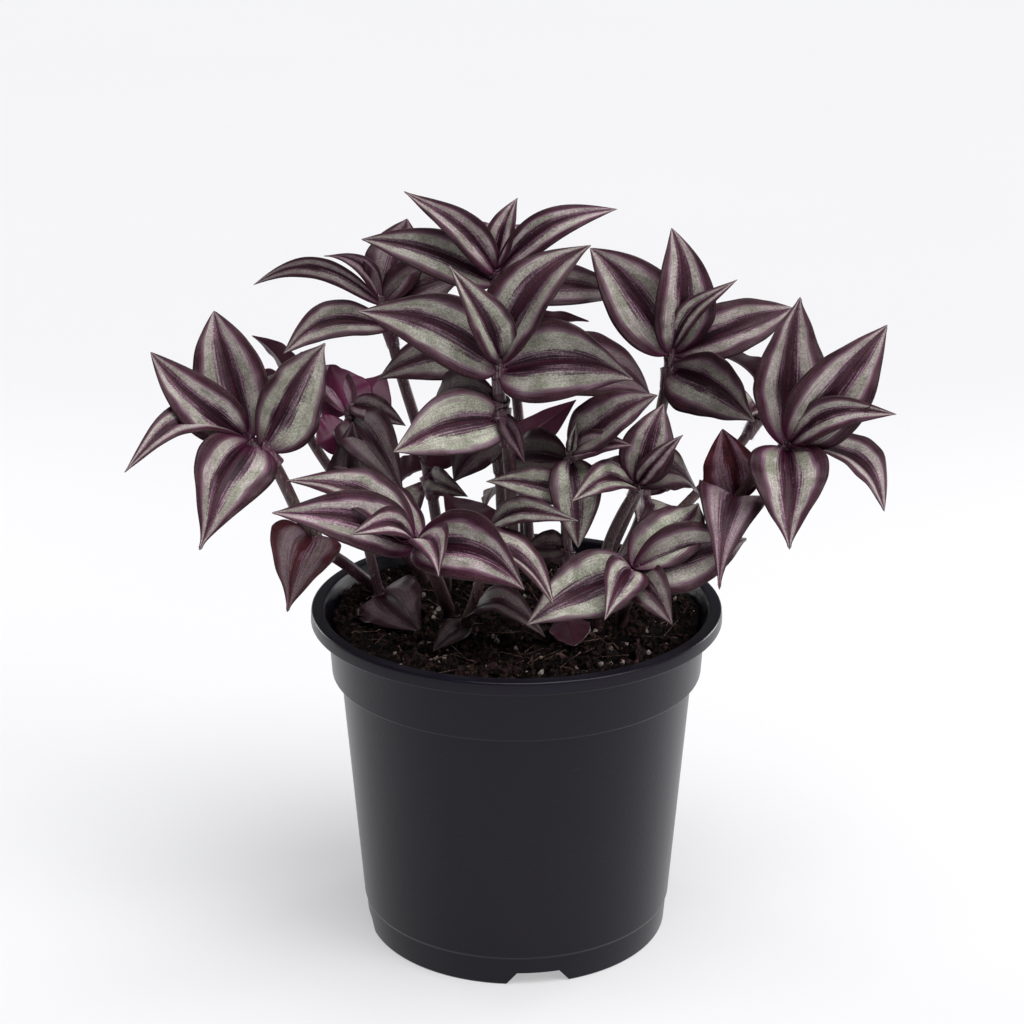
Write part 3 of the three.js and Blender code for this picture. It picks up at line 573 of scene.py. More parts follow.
def make_leaf_upper():
    material, tree, place = new_material("leaf_upper_striped")
    leaf = leaf_values(tree)
    sway = grain(tree, leaf.uv, 1.0, 2.0, size=(1.6, 3.0, 1), shift=leaf.shift)
    fray = grain(tree, leaf.uv, 1.0, 3.0, 0.65, size=(44, 2.2, 1), shift=leaf.shift)
    veins = grain(tree, leaf.uv, 1.0, 3.0, 0.6, size=(90, 1.6, 1), shift=leaf.shift)
    cloud = grain(tree, leaf.uv, 1.0, 3.0, 0.6, size=(3, 5, 1), shift=leaf.shift)
    specks = grain(tree, place, 2300, 3.0, 0.7)

    edge = band_edge(tree, leaf, sway, fray, specks)
    lines = smooth_step(tree, veins, 0.48, 0.62)
    band = times(tree, plateau(tree, edge, 0.28, 0.38, 0.62, 0.71), scaled(tree, lines, -0.34, 1.0))
    band = times(tree, band, leaf.strength)
    band = times(tree, band, smooth_step(tree, leaf.along, 0.0, 0.16))
    fringe = plateau(tree, edge, 0.15, 0.30, 0.70, 0.84)
    streaks = scaled(tree, smooth_step(tree, fray, 0.42, 0.60), 0.70, 0.24)

    mauve = blend_colour(tree, leaf.pink, MAUVE_GREY, MAUVE_PINK)
    colour = tinted(tree, purple_ground(tree, leaf, cloud, lines), mauve, fringe, streaks)
    colour = tinted(tree, colour, silver_band(tree, leaf, cloud, fray), band)
    colour = shaded(tree, colour, scaled(tree, specks, 2.3, -0.15))
    near_base = smooth_step(tree, maths(tree, "SUBTRACT", 1.0, leaf.along), 0.78, 1.0)
    pinker = times(tree, near_base, scaled(tree, leaf.pink, 0.6, 0.4))
    colour = tinted(tree, colour, MAGENTA, pinker, 0.85)
    colour = tinted(tree, colour, EDGE_PALE, smooth_step(tree, leaf.across, 0.965, 0.995), 0.22)
    # painted shade over the whole blade, as strong as the leaf's darkness value
    colour = tinted(tree, colour, PAINTED_SHADE_UPPER, leaf.dark, 0.92)
    relief = plus(tree, times(tree, veins, 0.7), times(tree, specks, 0.5))
    return coat(material, Base_Color=colour, Roughness=scaled(tree, cloud, 0.16, 0.30),
                Specular_IOR_Level=0.15, Normal=bump(tree, relief, 0.45, 0.0002))


def make_leaf_under():
    material, tree, place = new_material("leaf_under_plum")
    leaf = leaf_values(tree)
    veins = grain(tree, leaf.uv, 1.0, 2.0, 0.55, size=(60, 2.0, 1), shift=leaf.shift)
    cloud = grain(tree, leaf.uv, 1.0, 2.0, size=(3, 4, 1), shift=leaf.shift)
    specks = grain(tree, place, 2400, 2.0, 0.6)
    plum = ramp(tree, leaf.across, PLUM)
    plum = tinted(tree, plum, PLUM_VEIN, smooth_step(tree, veins, 0.45, 0.7))
    plum = tinted(tree, plum, PLUM_CLOUD, smooth_step(tree, cloud, 0.3, 0.8), 0.35)
    plum = tinted(tree, plum, PLUM_PINK, leaf.pink, scaled(tree, leaf.along, -0.5, 0.75))
    plum = shaded(tree, plum, scaled(tree, specks, 0.5, 0.75))
    # painted shade over the whole underside, from the leaf's darkness value
    plum = tinted(tree, plum, PAINTED_SHADE_UNDER, leaf.dark, 0.6)
    return coat(material, Base_Color=plum, Roughness=0.42, Specular_IOR_Level=0.26,
                Normal=bump(tree, veins, 0.25, 0.00015))


def make_stem_skin():
    material, tree, place = new_material("stem_skin")
    streaks = grain(tree, place, 1.0, 3.0, 0.6, size=(1500, 1500, 160))
    specks = grain(tree, place, 1.0, 2.0, 0.7, size=(3200, 3200, 1100))
    skin = ramp(tree, grain(tree, place, 60), [(0.3, (0.050, 0.016, 0.028)), (0.5, (0.080, 0.034, 0.044)),
                                               (0.7, (0.110, 0.078, 0.062))])
    skin = tinted(tree, skin, (0.026, 0.008, 0.014), smooth_step(tree, streaks, 0.50, 0.66))
    skin = tinted(tree, skin, (0.30, 0.28, 0.22), smooth_step(tree, specks, 0.60, 0.70), 0.65)
    return coat(material, Base_Color=skin, Roughness=0.45, Normal=bump(tree, streaks, 0.3, 0.0002))


def make_sheath_skin():
    material, tree, place = new_material("sheath_skin")
    streaks = grain(tree, place, 1.0, 2.0, 0.6, size=(1700, 1700, 120))
    skin = ramp(tree, grain(tree, place, 90), [(0.3, (0.075, 0.012, 0.038)), (0.55, (0.060, 0.018, 0.034)),
                                               (0.75, (0.120, 0.075, 0.078))])
    skin = tinted(tree, skin, (0.170, 0.125, 0.125), smooth_step(tree, streaks, 0.50, 0.66))
    return coat(material, Base_Color=skin, Roughness=0.42, Normal=bump(tree, streaks, 0.3, 0.0002))


def make_hair_finish():
    material, tree, place = new_material("hair_white")
    white = blend_colour(tree, grain(tree, place, 400), (0.75, 0.70, 0.68), (0.55, 0.45, 0.50))
    return coat(material, Base_Color=white, Roughness=0.5)


# ---- pot, soil and floor finishes

def make_pot_plastic():
    material, tree, place = new_material("pot_plastic_black")
    fine = grain(tree, place, 1500)
    slow = grain(tree, place, 1.0, 3.0, 0.55, size=(45, 45, 14))
    scuffs = grain(tree, place, 1.0, 3.0, 0.7, size=(260, 260, 1400))
    black = blend_colour(tree, slow, (0.0040, 0.0029, 0.0080), (0.0068, 0.0052, 0.0120))
    black = tinted(tree, black, (0.055, 0.052, 0.052), smooth_step(tree, scuffs, 0.62, 0.75), 0.12)
    relief = plus(tree, fine, times(tree, slow, 0.6))
    return coat(material, Base_Color=black, Roughness=scaled(tree, slow, 0.12, 0.24),
                Specular_IOR_Level=0.22, Normal=bump(tree, relief, 0.12, 0.0003))


def make_earth(name, dark, light, rough, scale):
    """A rough finish of dark and light clumps with paler grains in them."""
    material, tree, place = new_material(name)
    clumps = grain(tree, place, scale, 4.0, 0.65)
    fine = grain(tree, place, scale * 5, 3.0, 0.6)
    colour = ramp(tree, clumps, [(0.40, dark), (0.70, light)])
    paler = tuple(min(1, c * 2.2) for c in light)
    colour = tinted(tree, colour, paler, smooth_step(tree, fine, 0.55, 0.75), 0.5)
    relief = plus(tree, clumps, times(tree, fine, 0.5))
    return coat(material, Base_Color=colour, Roughness=rough, Specular_IOR_Level=0.2,
                Normal=bump(tree, relief, 0.7, 0.0005))


def make_floor_finish():
    """A pale floor that gives off part of its light, so that the shadow on it stays faint."""
    material, tree, place = new_material("floor_pale")
    pale = blend_colour(tree, grain(tree, place, 3), (0.440, 0.440, 0.450), (0.455, 0.455, 0.463))
    return coat(material, Base_Color=pale, Roughness=0.7, Emission_Color=(0.985, 0.985, 1.0),
                Emission_Strength=0.43)


LEAF_UPPER = make_leaf_upper()
LEAF_UNDER = make_leaf_under()
STEM_SKIN = make_stem_skin()
SHEATH_SKIN = make_sheath_skin()
HAIR_FINISH = make_hair_finish()
POT_PLASTIC = make_pot_plastic()
EARTH = make_earth("soil_dark", (0.0012, 0.0007, 0.0006), (0.009, 0.0042, 0.0036), 0.95, 420)
CRUMB_DARK = make_earth("crumb_dark", (0.0016, 0.0009, 0.0008), (0.058, 0.030, 0.026), 0.95, 700)
CRUMB_BARK = make_earth("crumb_bark", (0.022, 0.010, 0.009), (0.190, 0.105, 0.095), 0.9, 600)
PERLITE = make_earth("perlite_white", (0.36, 0.30, 0.26), (0.66, 0.60, 0.54), 0.85, 900)
FIBRE = make_earth("root_fibre", (0.080, 0.048, 0.040), (0.300, 0.200, 0.165), 0.8, 500)


# ---- pieces and meshes

def new_object(name, mesh):
    made = bpy.data.objects.new(name, mesh)
    bpy.context.scene.collection.objects.link(made)
    return made


def finish_piece(made, slot, *nodes):
    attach(made, "root")
    if nodes:
        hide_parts(*nodes)


def circle(radius, sides):
    """Points on a circle, as pairs of x and y."""
    turns = [2 * math.pi * k / sides for k in range(sides)]
    return [(radius * math.cos(turn), radius * math.sin(turn)) for turn in turns]


def bridge(body, low, high, flip=False):
    """Faces between two rings of corners, or a ring and a single point; flip turns them over."""
    sides = max(len(low), len(high))
    for k in range(sides):
        n = (k + 1) % sides
        if len(low) == 1:
            face = (low[0], high[n], high[k])
        elif len(high) == 1:
            face = (low[k], low[n], high[0])
        else:
            face = (low[k], low[n], high[n], high[k])
        body.faces.new((face[0], *face[:0:-1]) if flip else face)


def mesh_from(body, name):
    """The finished mesh of a body, with its faces turned outwards."""
    bmesh.ops.recalc_face_normals(body, faces=body.faces)
    mesh = bpy.data.meshes.new(name)
    body.to_mesh(mesh)
    body.free()
    return mesh


def store(mesh, label, kind, values):
    """Values on a mesh's points, under the label that a tree or a finish reads."""
    field = {"FLOAT": "value", "FLOAT_VECTOR": "vector", "FLOAT_COLOR": "color"}[kind]
    mesh.attributes.new(label, kind, "POINT").data.foreach_set(field, np.ravel(values))


def plain_mesh(made, name):
    """The evaluated mesh of a piece under its modifiers, as a plain object of its own."""
    bpy.context.view_layer.update()
    shape = bpy.data.meshes.new_from_object(made.evaluated_get(bpy.context.evaluated_depsgraph_get()))
    old = made.data
    made.modifiers.clear()
    bpy.data.objects.remove(made)
    if old.users == 0:
        bpy.data.meshes.remove(old)
    shape.name = name
    return new_object(name, shape)


# ---- geometry trees

def geometry_tree(name, inputs):
    """A tree with a geometry input and named inputs: the tree, its inputs and its end."""
    tree = bpy.data.node_groups.new(name, "GeometryNodeTree")
    tree.interface.new_socket("Geometry", in_out="INPUT", socket_type="NodeSocketGeometry")
    for label, kind in inputs.items():
        tree.interface.new_socket(label, in_out="INPUT", socket_type=f"NodeSocket{kind}")
    tree.interface.new_socket("Geometry", in_out="OUTPUT", socket_type="NodeSocketGeometry")
    start = tree.nodes.new("NodeGroupInput")
    end = tree.nodes.new("NodeGroupOutput")
    return tree, start.outputs, end.inputs[0]


def finish_tree(tree, shape, material, end):
    real = add_node(tree, "GeometryNodeRealizeInstances", Geometry=shape)
    dressed = add_node(tree, "GeometryNodeSetMaterial", Geometry=real, Material=material)
    tree.links.new(dressed.outputs[0], end)
    return tree


def use_tree(made, tree, values):
    """Puts a geometry tree on a piece, with its named inputs set by identifier."""
    modifier = made.modifiers.new(tree.name, "NODES")
    modifier.node_group = tree
    for item in tree.interface.items_tree:
        if item.item_type == "SOCKET" and item.in_out == "INPUT" and item.name in values:
            modifier[item.identifier] = values[item.name]


def attribute(tree, name, kind):
    return add_node(tree, "GeometryNodeInputNamedAttribute", {"data_type": kind}, Name=name).outputs[0]


def compare(tree, kind, a, b):
    return add_node(tree, "FunctionNodeCompare", {"data_type": "FLOAT", "operation": kind}, i0=a, i1=b)


def both(tree, a, b):
    return add_node(tree, "FunctionNodeBooleanMath", {"operation": "AND"}, i0=a, i1=b)


def random_number(tree, low, high):
    return add_node(tree, "FunctionNodeRandomValue", {"data_type": "FLOAT"}, i2=low, i3=high).outputs[1]


def random_vector(tree, low, high):
    return add_node(tree, "FunctionNodeRandomValue", {"data_type": "FLOAT_VECTOR"},
                    i0=low, i1=high).outputs[0]


# ---- pot

CORNER_STEPS = 4
POT_SIDES = 160
DRAIN_SIDES = 32
SHARP_FROM = 40         # degrees between faces from which an edge of the pot stays sharp


def rounded(corners):
    """The corners (radius, height, rounding) of a profile, turned into small arcs."""
    points = []
    for i, (*corner, rounding) in enumerate(corners):
        if rounding == 0:
            points.append(tuple(corner))
            continue
        here, back, ahead = (np.array(c[:2], float) for c in (corner, corners[i - 1], corners[i + 1]))
        to_back, to_ahead = back - here, ahead - here
        reach = min(rounding, np.linalg.norm(to_back) * 0.45, np.linalg.norm(to_ahead) * 0.45)
        start = here + unit(to_back) * reach
        stop = here + unit(to_ahead) * reach
        for k in range(CORNER_STEPS + 1):
            t = k / CORNER_STEPS
            points.append(tuple((1 - t) ** 2 * start + 2 * t * (1 - t) * here + t ** 2 * stop))
    return points


def turned(name, profile, sides):
    """A closed body from a profile that starts and ends on the axis."""
    body = bmesh.new()
    rings = [[body.verts.new((y, -x, height * MM))
              for x, y in (circle(radius * MM, sides) if radius > 0 else [(0, 0)])]
             for radius, height in profile]
    for low, high in zip(rings, rings[1:]):
        bridge(body, low, high)
    return mesh_from(body, name)


def cutter(name, outline, low, high, place):
    """A prism over an outline, moved by place()."""
    body = bmesh.new()
    bottom = [body.verts.new(place(x, y, low)) for x, y in outline]
    top = [body.verts.new(place(x, y, high)) for x, y in outline]
    body.faces.new(bottom[::-1])
    body.faces.new(top)
    bridge(body, bottom, top)
    return new_object(name, mesh_from(body, name))


def pot_corners():
    """The pot's outline from its underside, up the outside and down the inside, with roundings."""
    lip_bottom = POT_HEIGHT - LIP_DROP
    return [
        (0, FLOOR_LIFT, 0), (FOOT_RADIUS - FOOT_RING, FLOOR_LIFT, 0.4),
        (FOOT_RADIUS - FOOT_RING, 0, 0.25), (FOOT_RADIUS, 0, 0.5),
        (FOOT_TOP_RADIUS, FOOT_HEIGHT, 0.4), (BODY_BOTTOM_RADIUS, FOOT_HEIGHT + 0.6, 0.4),
        (BODY_TOP_RADIUS, STEP_HEIGHT - 0.8, 0.5), (COLLAR_BOTTOM_RADIUS, STEP_HEIGHT, 0.5),
        (COLLAR_TOP_RADIUS, lip_bottom - 0.8, 0.6), (RIM_RADIUS + 0.2, lip_bottom, 0.45),
        (RIM_RADIUS, POT_HEIGHT, 0.6), (COLLAR_TOP_RADIUS + 1.0, POT_HEIGHT, 0.4),
        (COLLAR_TOP_RADIUS + 0.4, POT_HEIGHT - 1.0, 0.4),
        (COLLAR_TOP_RADIUS - WALL, lip_bottom - 1.2, 0.6),
        (COLLAR_BOTTOM_RADIUS - WALL, STEP_HEIGHT + 1.2, 0.6),
        (BODY_TOP_RADIUS - WALL, STEP_HEIGHT, 0.6), (BODY_BOTTOM_RADIUS - WALL, FLOOR_TOP, 0.6),
        (0, FLOOR_TOP, 0),
    ]


def pot_cutters():
    """The gaps in the foot ring and the drain holes, as bodies to cut away."""
    foot = NOTCH_WIDE / 2 + 0.8
    gap = [(-foot, -1), (foot, -1), (NOTCH_NARROW / 2, NOTCH_HEIGHT), (-NOTCH_NARROW / 2, NOTCH_HEIGHT)]
    cutters = []
    for k in range(NOTCHES):
        turn = math.radians(NOTCH_TURN + 360 / NOTCHES * k)
        ahead = Vector((math.sin(turn), -math.cos(turn), 0))
        side = Vector((math.cos(turn), math.sin(turn), 0))
        cutters.append(cutter("notch", gap, FOOT_RADIUS - 4, FOOT_RADIUS + 4,
                              lambda x, y, z: (ahead * z + side * x + Vector((0, 0, y))) * MM))
        cutters.append(cutter("drain", circle(DRAIN_RADIUS, DRAIN_SIDES), 0, FLOOR_TOP + 2,
                              lambda x, y, z: (ahead * DRAIN_CIRCLE + Vector((x, y, z))) * MM))
    return cutters


def make_pot():
    pot = new_object("pot_shell", turned("pot_shell", rounded(pot_corners()), POT_SIDES))
    cutters = pot_cutters()
    for tool in cutters:
        cut = pot.modifiers.new("cut", "BOOLEAN")
        cut.object = tool
        cut.operation = "DIFFERENCE"
        cut.solver = "EXACT"
    pot = plain_mesh(pot, "pot_shell")
    for tool in cutters:
        bpy.data.objects.remove(tool)
    pot.data.materials.clear()
    pot.data.materials.append(POT_PLASTIC)
    pot.data.shade_smooth()
    pot.data.set_sharp_from_angle(angle=math.radians(SHARP_FROM))
    finish_piece(pot, "pot_plastic", "pot")


# ---- soil

SOIL_SIDES = 180
SOIL_RINGS = 57
SOIL_FLOOR = FLOOR_TOP + 0.35
STREW_FROM = 79.5       # lumps lie only on the soil's upper face, above this height,
STREW_SLOPE = 0.3       # and only where that face points upwards by at least this share
FIBRE_SIDES = 4
FIBRE_STEPS = 9
FIBRE_RADIUS = 0.16


def bumps(x, y, fineness, level):
    """Smooth noise from about -1 to 1 over the soil."""
    return noise.noise(Vector((x * fineness, y * fineness, level)))


def soil_height(x, y):
    """Height of the soil's face in millimetres."""
    radius = math.hypot(x, y) / COLLAR_TOP_RADIUS
    lumps = bumps(x, y, 0.11, 3.0) * 1.1 - 0.3
    clods = bumps(x, y, 0.30, 9.0) * 1.1
    crumbs = bumps(x, y, 0.95, 5.0) * 0.45
    return SOIL_TOP - SOIL_DIP * (1 - radius * radius) + lumps + clods + crumbs


def soil_edge(pot_radius):
    """Radius of the soil where the pot's outside has the given radius."""
    return pot_radius - WALL - CLEARANCE


def make_soil():
    body = bmesh.new()
    rings = [[body.verts.new((0, 0, soil_height(0, 0) * MM))]]
    for radius in np.linspace(0, soil_edge(COLLAR_TOP_RADIUS), SOIL_RINGS + 1)[1:]:
        rings.append([body.verts.new((x * MM, y * MM, soil_height(x, y) * MM))
                      for x, y in circle(radius, SOIL_SIDES)])
    for pot_radius, height in ((COLLAR_BOTTOM_RADIUS, STEP_HEIGHT + 1.6), (BODY_TOP_RADIUS, STEP_HEIGHT),
                               (BODY_BOTTOM_RADIUS, SOIL_FLOOR)):
        rings.append([body.verts.new((x, y, height * MM))
                      for x, y in circle(soil_edge(pot_radius) * MM, SOIL_SIDES)])
    rings.append([body.verts.new((0, 0, SOIL_FLOOR * MM))])
    for low, high in zip(rings, rings[1:]):
        bridge(body, low, high, flip=True)
    mesh = mesh_from(body, "soil_bed")
    mesh.shade_smooth()
    mesh.materials.append(EARTH)
    return new_object("soil_bed", mesh)


def crumb_shape(name, seed, stretch, rough, fineness):
    """One irregular lump about 1 mm across."""
    body = bmesh.new()
    bmesh.ops.create_icosphere(body, subdivisions=fineness, radius=0.5 * MM)
    for v in body.verts:
        way = v.co.normalized()
        swell = 1 + rough * noise.noise(way * 1.9 + Vector((seed, seed * 1.7, 0)))
        v.co = Vector((v.co.x * stretch[0], v.co.y * stretch[1], v.co.z * stretch[2])) * swell
    return new_object(name, mesh_from(body, name))


def fibre_shape(name, seed, length):
    """A thin wandering root thread lying about flat, thinner towards its end."""
    heading, place = 0.0, Vector((-length / 2, 0, 0))
    line = []
    for k in range(FIBRE_STEPS + 1):
        line.append(place.copy())
        heading += 0.55 * wobble(seed, k)
        way = Vector((math.cos(heading), math.sin(heading), 0.22 * wobble(seed, k + 20)))
        place = place + way * length / FIBRE_STEPS
    body = bmesh.new()
    rings = []
    for k, here in enumerate(line):
        ahead = (line[min(k + 1, FIBRE_STEPS)] - line[max(k - 1, 0)]).normalized()
        side = ahead.cross(Vector((0, 0, 1))).normalized()
        up = side.cross(ahead)
        thick = FIBRE_RADIUS * (1 - 0.6 * k / FIBRE_STEPS)
        rings.append([body.verts.new((here + (side * x + up * y) * thick) * MM)
                      for x, y in circle(1.0, FIBRE_SIDES)])
    for low, high in zip(rings, rings[1:]):
        bridge(body, low, high)
    body.faces.new(rings[0][::-1])
    body.faces.new(rings[-1])
    return new_object(name, mesh_from(body, name))


def make_scatter_tree():
    """Lumps strewn over the flat upper faces of a piece, within a reach of its axis."""
    tree, inputs, end = geometry_tree("strewn_on_top", {
        "Lumps": "Collection", "Per Square Metre": "Float", "Seed": "Int", "Smallest": "Float",
        "Largest": "Float", "Tumble": "Float", "Lift": "Float", "Upper From": "Float",
        "Reach": "Float", "Finish": "Material"})
    normal = add_node(tree, "GeometryNodeInputNormal")
    upright = add_node(tree, "ShaderNodeSeparateXYZ", Vector=normal)
    place = add_node(tree, "GeometryNodeInputPosition")
    x, y, height = add_node(tree, "ShaderNodeSeparateXYZ", Vector=place).outputs
    from_axis = add_node(tree, "ShaderNodeVectorMath", {"operation": "LENGTH"},
                         i0=add_node(tree, "ShaderNodeCombineXYZ", X=x, Y=y))
    flat_top = both(tree, compare(tree, "GREATER_THAN", upright.outputs[2], STREW_SLOPE),
                    compare(tree, "GREATER_THAN", height, inputs["Upper From"]))
    within = compare(tree, "LESS_THAN", from_axis.outputs[1], inputs["Reach"])
    points = add_node(tree, "GeometryNodeDistributePointsOnFaces", {"distribute_method": "RANDOM"},
                      Mesh=inputs["Geometry"], Selection=both(tree, flat_top, within),
                      Seed=inputs["Seed"], Density=inputs["Per Square Metre"])
    shapes = add_node(tree, "GeometryNodeCollectionInfo", {"transform_space": "ORIGINAL"},
                      Collection=inputs["Lumps"], Separate_Children=True, Reset_Children=True)
    lean = add_node(tree, "ShaderNodeCombineXYZ", X=inputs["Tumble"], Y=inputs["Tumble"], Z=1.0)
    any_way = random_vector(tree, (-HALF_TURN,) * 3, (HALF_TURN,) * 3)
    turn = vector_maths(tree, "MULTIPLY", any_way, lean)
    put = add_node(tree, "GeometryNodeInstanceOnPoints", Points=points, Instance=shapes,
                   Pick_Instance=True, Rotation=turn,
                   Scale=random_number(tree, inputs["Smallest"], inputs["Largest"]))
    lifted = add_node(tree, "GeometryNodeTranslateInstances", Instances=put, Local_Space=False,
                      Translation=add_node(tree, "ShaderNodeCombineXYZ", Z=inputs["Lift"]))
    return finish_tree(tree, lifted, inputs["Finish"], end)


def strew(name, ground, tree, shapes, finish, values):
    """Lumps of the given shapes over the ground, as one piece."""
    density, seed, smallest, largest, tumble, lift, reach = values
    heap = bpy.data.collections.new(name + "_shapes")
    for made in shapes:
        heap.objects.link(made)
        bpy.context.scene.collection.objects.unlink(made)
    carrier = new_object(name, ground.data.copy())
    use_tree(carrier, tree, {"Lumps": heap, "Per Square Metre": density, "Seed": seed,
                             "Smallest": smallest, "Largest": largest, "Tumble": tumble,
                             "Lift": lift * MM, "Upper From": STREW_FROM * MM,
                             "Reach": reach * MM, "Finish": finish})
    made = plain_mesh(carrier, name)
    for shape in shapes:
        bpy.data.objects.remove(shape)
    bpy.data.collections.remove(heap)
    made.data.shade_flat()
    finish_piece(made, "soil")


def make_potting_mix():
    soil = make_soil()
    tree = make_scatter_tree()
    crumbs = [crumb_shape(f"crumb_{k}", k * 2.3, (1 + 0.3 * wobble(k, 1), 1, 0.8), 1.0, 1) for k in range(5)]
    clods = [crumb_shape(f"clod_{k}", k * 3.1 + 7, (1.2, 1, 0.75), 1.3, 2) for k in range(4)]
    bark = [crumb_shape(f"bark_{k}", k * 1.9 + 3, (2.1, 0.9, 0.45), 0.9, 1) for k in range(4)]
    grains = [crumb_shape(f"perlite_{k}", k * 1.3 + 11, (1.1, 1, 0.85), 0.8, 1) for k in range(4)]
    threads = [fibre_shape(f"thread_{k}", k + 2, 9 + 2 * k) for k in range(4)]
    # the number on a square metre, seed, smallest and largest scale, tumble,
    # and the lift and the reach from the axis in millimetres
    strewn = {
        "soil_crumbs": (crumbs, CRUMB_DARK, (420e3, 4, 0.5, 2.1, 1.0, 0.0, 44.8)),
        "soil_clods": (clods, CRUMB_DARK, (30e3, 11, 1.8, 4.4, 0.4, 0.3, 42.8)),
        "bark_bits": (bark, CRUMB_BARK, (42e3, 23, 0.6, 1.5, 0.5, 0.4, 43.8)),
        "perlite_bits": (grains, PERLITE, (18e3, 31, 0.4, 1.7, 1.0, 0.4, 44.8)),
        "root_threads": (threads, FIBRE, (17e3, 41, 0.6, 1.1, 0.06, 0.9, 39.5)),
    }
    for name, (shapes, finish, values) in strewn.items():
        strew(name, soil, tree, shapes, finish, values)
    finish_piece(soil, "soil", "soil")


# ---- stems

STEM_STEPS = 60
STEM_SIDES = 14
STEM_ROOT = (6, 3)      # how far a stem goes on down into the soil below its first point
JOINT_LENGTH = 0.022    # of the swelling at a joint, as a share of the stem
JOINT_SWELL = 0.14
THINS_FROM = 0.8        # place from which the stem gets thinner towards its tip
SHEATH_SIDES = 18
# height, radius and slant of a sheath's rings, up the outside and down the inside, for a stem
# of radius 1
SHEATH_RINGS = [(-3.6, 0.0, 0), (-3.6, 0.98, 0), (-3.4, 1.10, 0), (-2.2, 1.20, 0), (-1.0, 1.30, 0.3),
                (-0.1, 1.46, 1.0), (0.15, 1.50, 1.25), (0.1, 1.34, 1.2), (-0.4, 1.0, 0.8), (-0.4, 0.0, 0)]
HAIR_LEAN = 0.5         # the most that a hair leans, in radians
HAIRS = {"Per Square Metre": 450e3, "Length": 1.1 * MM, "Thickness": 0.04 * MM}


def stem_point(points, place):
    """A smooth curve through the points; place runs from 0 at the soil to 1 at the tip."""
    p = [np.array(q, float) for q in points]
    last = len(p) - 1
    s = min(max(place, 0), 1) * last
    i = min(int(s), last - 1)
    t = s - i
    before = p[i - 1] if i > 0 else 2 * p[0] - p[1]
    after = p[i + 2] if i + 2 <= last else 2 * p[last] - p[last - 1]
    return 0.5 * (2 * p[i] + (p[i + 1] - before) * t + (2 * before - 5 * p[i] + 4 * p[i + 1] - after) * t * t
                  + (3 * p[i] - before - 3 * p[i + 1] + after) * t ** 3)


def stem_way(points, place):
    return unit(stem_point(points, min(place + 0.01, 1)) - stem_point(points, max(place - 0.01, 0)))


def stem_girth(shoot, place):
    """Half the stem's width: it swells at each joint and narrows at the tip."""
    swell = sum(math.exp(-((place - row[0]) / JOINT_LENGTH) ** 2)
                for row in shoot["rows"].values() if row[0] < 0.9)
    thinner = 0.30 * max(0, place - THINS_FROM) / 0.2
    return shoot["girth"] / 2 * (1.02 + JOINT_SWELL * min(swell, 1) - thinner)


def make_stem_tree():
    """A round stem along a line, as thick as the line's own girth."""
    tree, inputs, end = geometry_tree("stem_along_line", {"Sides": "Int", "Finish": "Material"})
    line = add_node(tree, "GeometryNodeMeshToCurve", Mesh=inputs["Geometry"])
    ring = add_node(tree, "GeometryNodeCurvePrimitiveCircle", Resolution=inputs["Sides"], Radius=1.0)
    tube = add_node(tree, "GeometryNodeCurveToMesh", Curve=line, Profile_Curve=ring, Fill_Caps=True,
                    Scale=attribute(tree, "half_girth", "FLOAT"))
    smooth = add_node(tree, "GeometryNodeSetShadeSmooth", Geometry=tube)
    return finish_tree(tree, smooth, inputs["Finish"], end)


def make_sheath_tree():
    """A sheath on each joint, set along the stem and turned to its leaf."""
    tree, inputs, end = geometry_tree("sheath_on_joints", {"Sheath": "Object", "Finish": "Material"})
    points = add_node(tree, "GeometryNodeMeshToPoints", Mesh=inputs["Geometry"])
    upright = add_node(tree, "FunctionNodeAlignRotationToVector", {"axis": "Z"},
                       Vector=attribute(tree, "stem_way", "FLOAT_VECTOR"))
    facing = add_node(tree, "FunctionNodeAlignRotationToVector", {"axis": "X", "pivot_axis": "Z"},
                      Rotation=upright, Vector=attribute(tree, "leaf_way", "FLOAT_VECTOR"))
    shape = add_node(tree, "GeometryNodeObjectInfo", Object=inputs["Sheath"])
    put = add_node(tree, "GeometryNodeInstanceOnPoints", Points=points, Instance=shape.outputs["Geometry"],
                   Rotation=facing, Scale=attribute(tree, "half_girth", "FLOAT"))
    smooth = add_node(tree, "GeometryNodeSetShadeSmooth", Geometry=put)
    return finish_tree(tree, smooth, inputs["Finish"], end)


def make_hair_tree():
    """Fine hairs that stand off a skin, each leaning its own way."""
    tree, inputs, end = geometry_tree("hairs_on_skin", {
        "Per Square Metre": "Float", "Seed": "Int", "Length": "Float", "Thickness": "Float",
        "Finish": "Material"})
    points = add_node(tree, "GeometryNodeDistributePointsOnFaces", Mesh=inputs["Geometry"],
                      Seed=inputs["Seed"], Density=inputs["Per Square Metre"])
    hair = add_node(tree, "GeometryNodeMeshCone", {"fill_type": "NGON"}, Vertices=3, Radius_Top=0.0,
                    Radius_Bottom=inputs["Thickness"], Depth=inputs["Length"])
    put = add_node(tree, "GeometryNodeInstanceOnPoints", Points=points, Instance=hair,
                   Rotation=points.outputs["Rotation"], Scale=random_number(tree, 0.5, 1.2))
    leaning = add_node(tree, "GeometryNodeRotateInstances", Instances=put,
                       Rotation=random_vector(tree, (-HAIR_LEAN, -HAIR_LEAN, 0.0),
                                              (HAIR_LEAN, HAIR_LEAN, 2 * HALF_TURN)))
    return finish_tree(tree, leaning, inputs["Finish"], end)


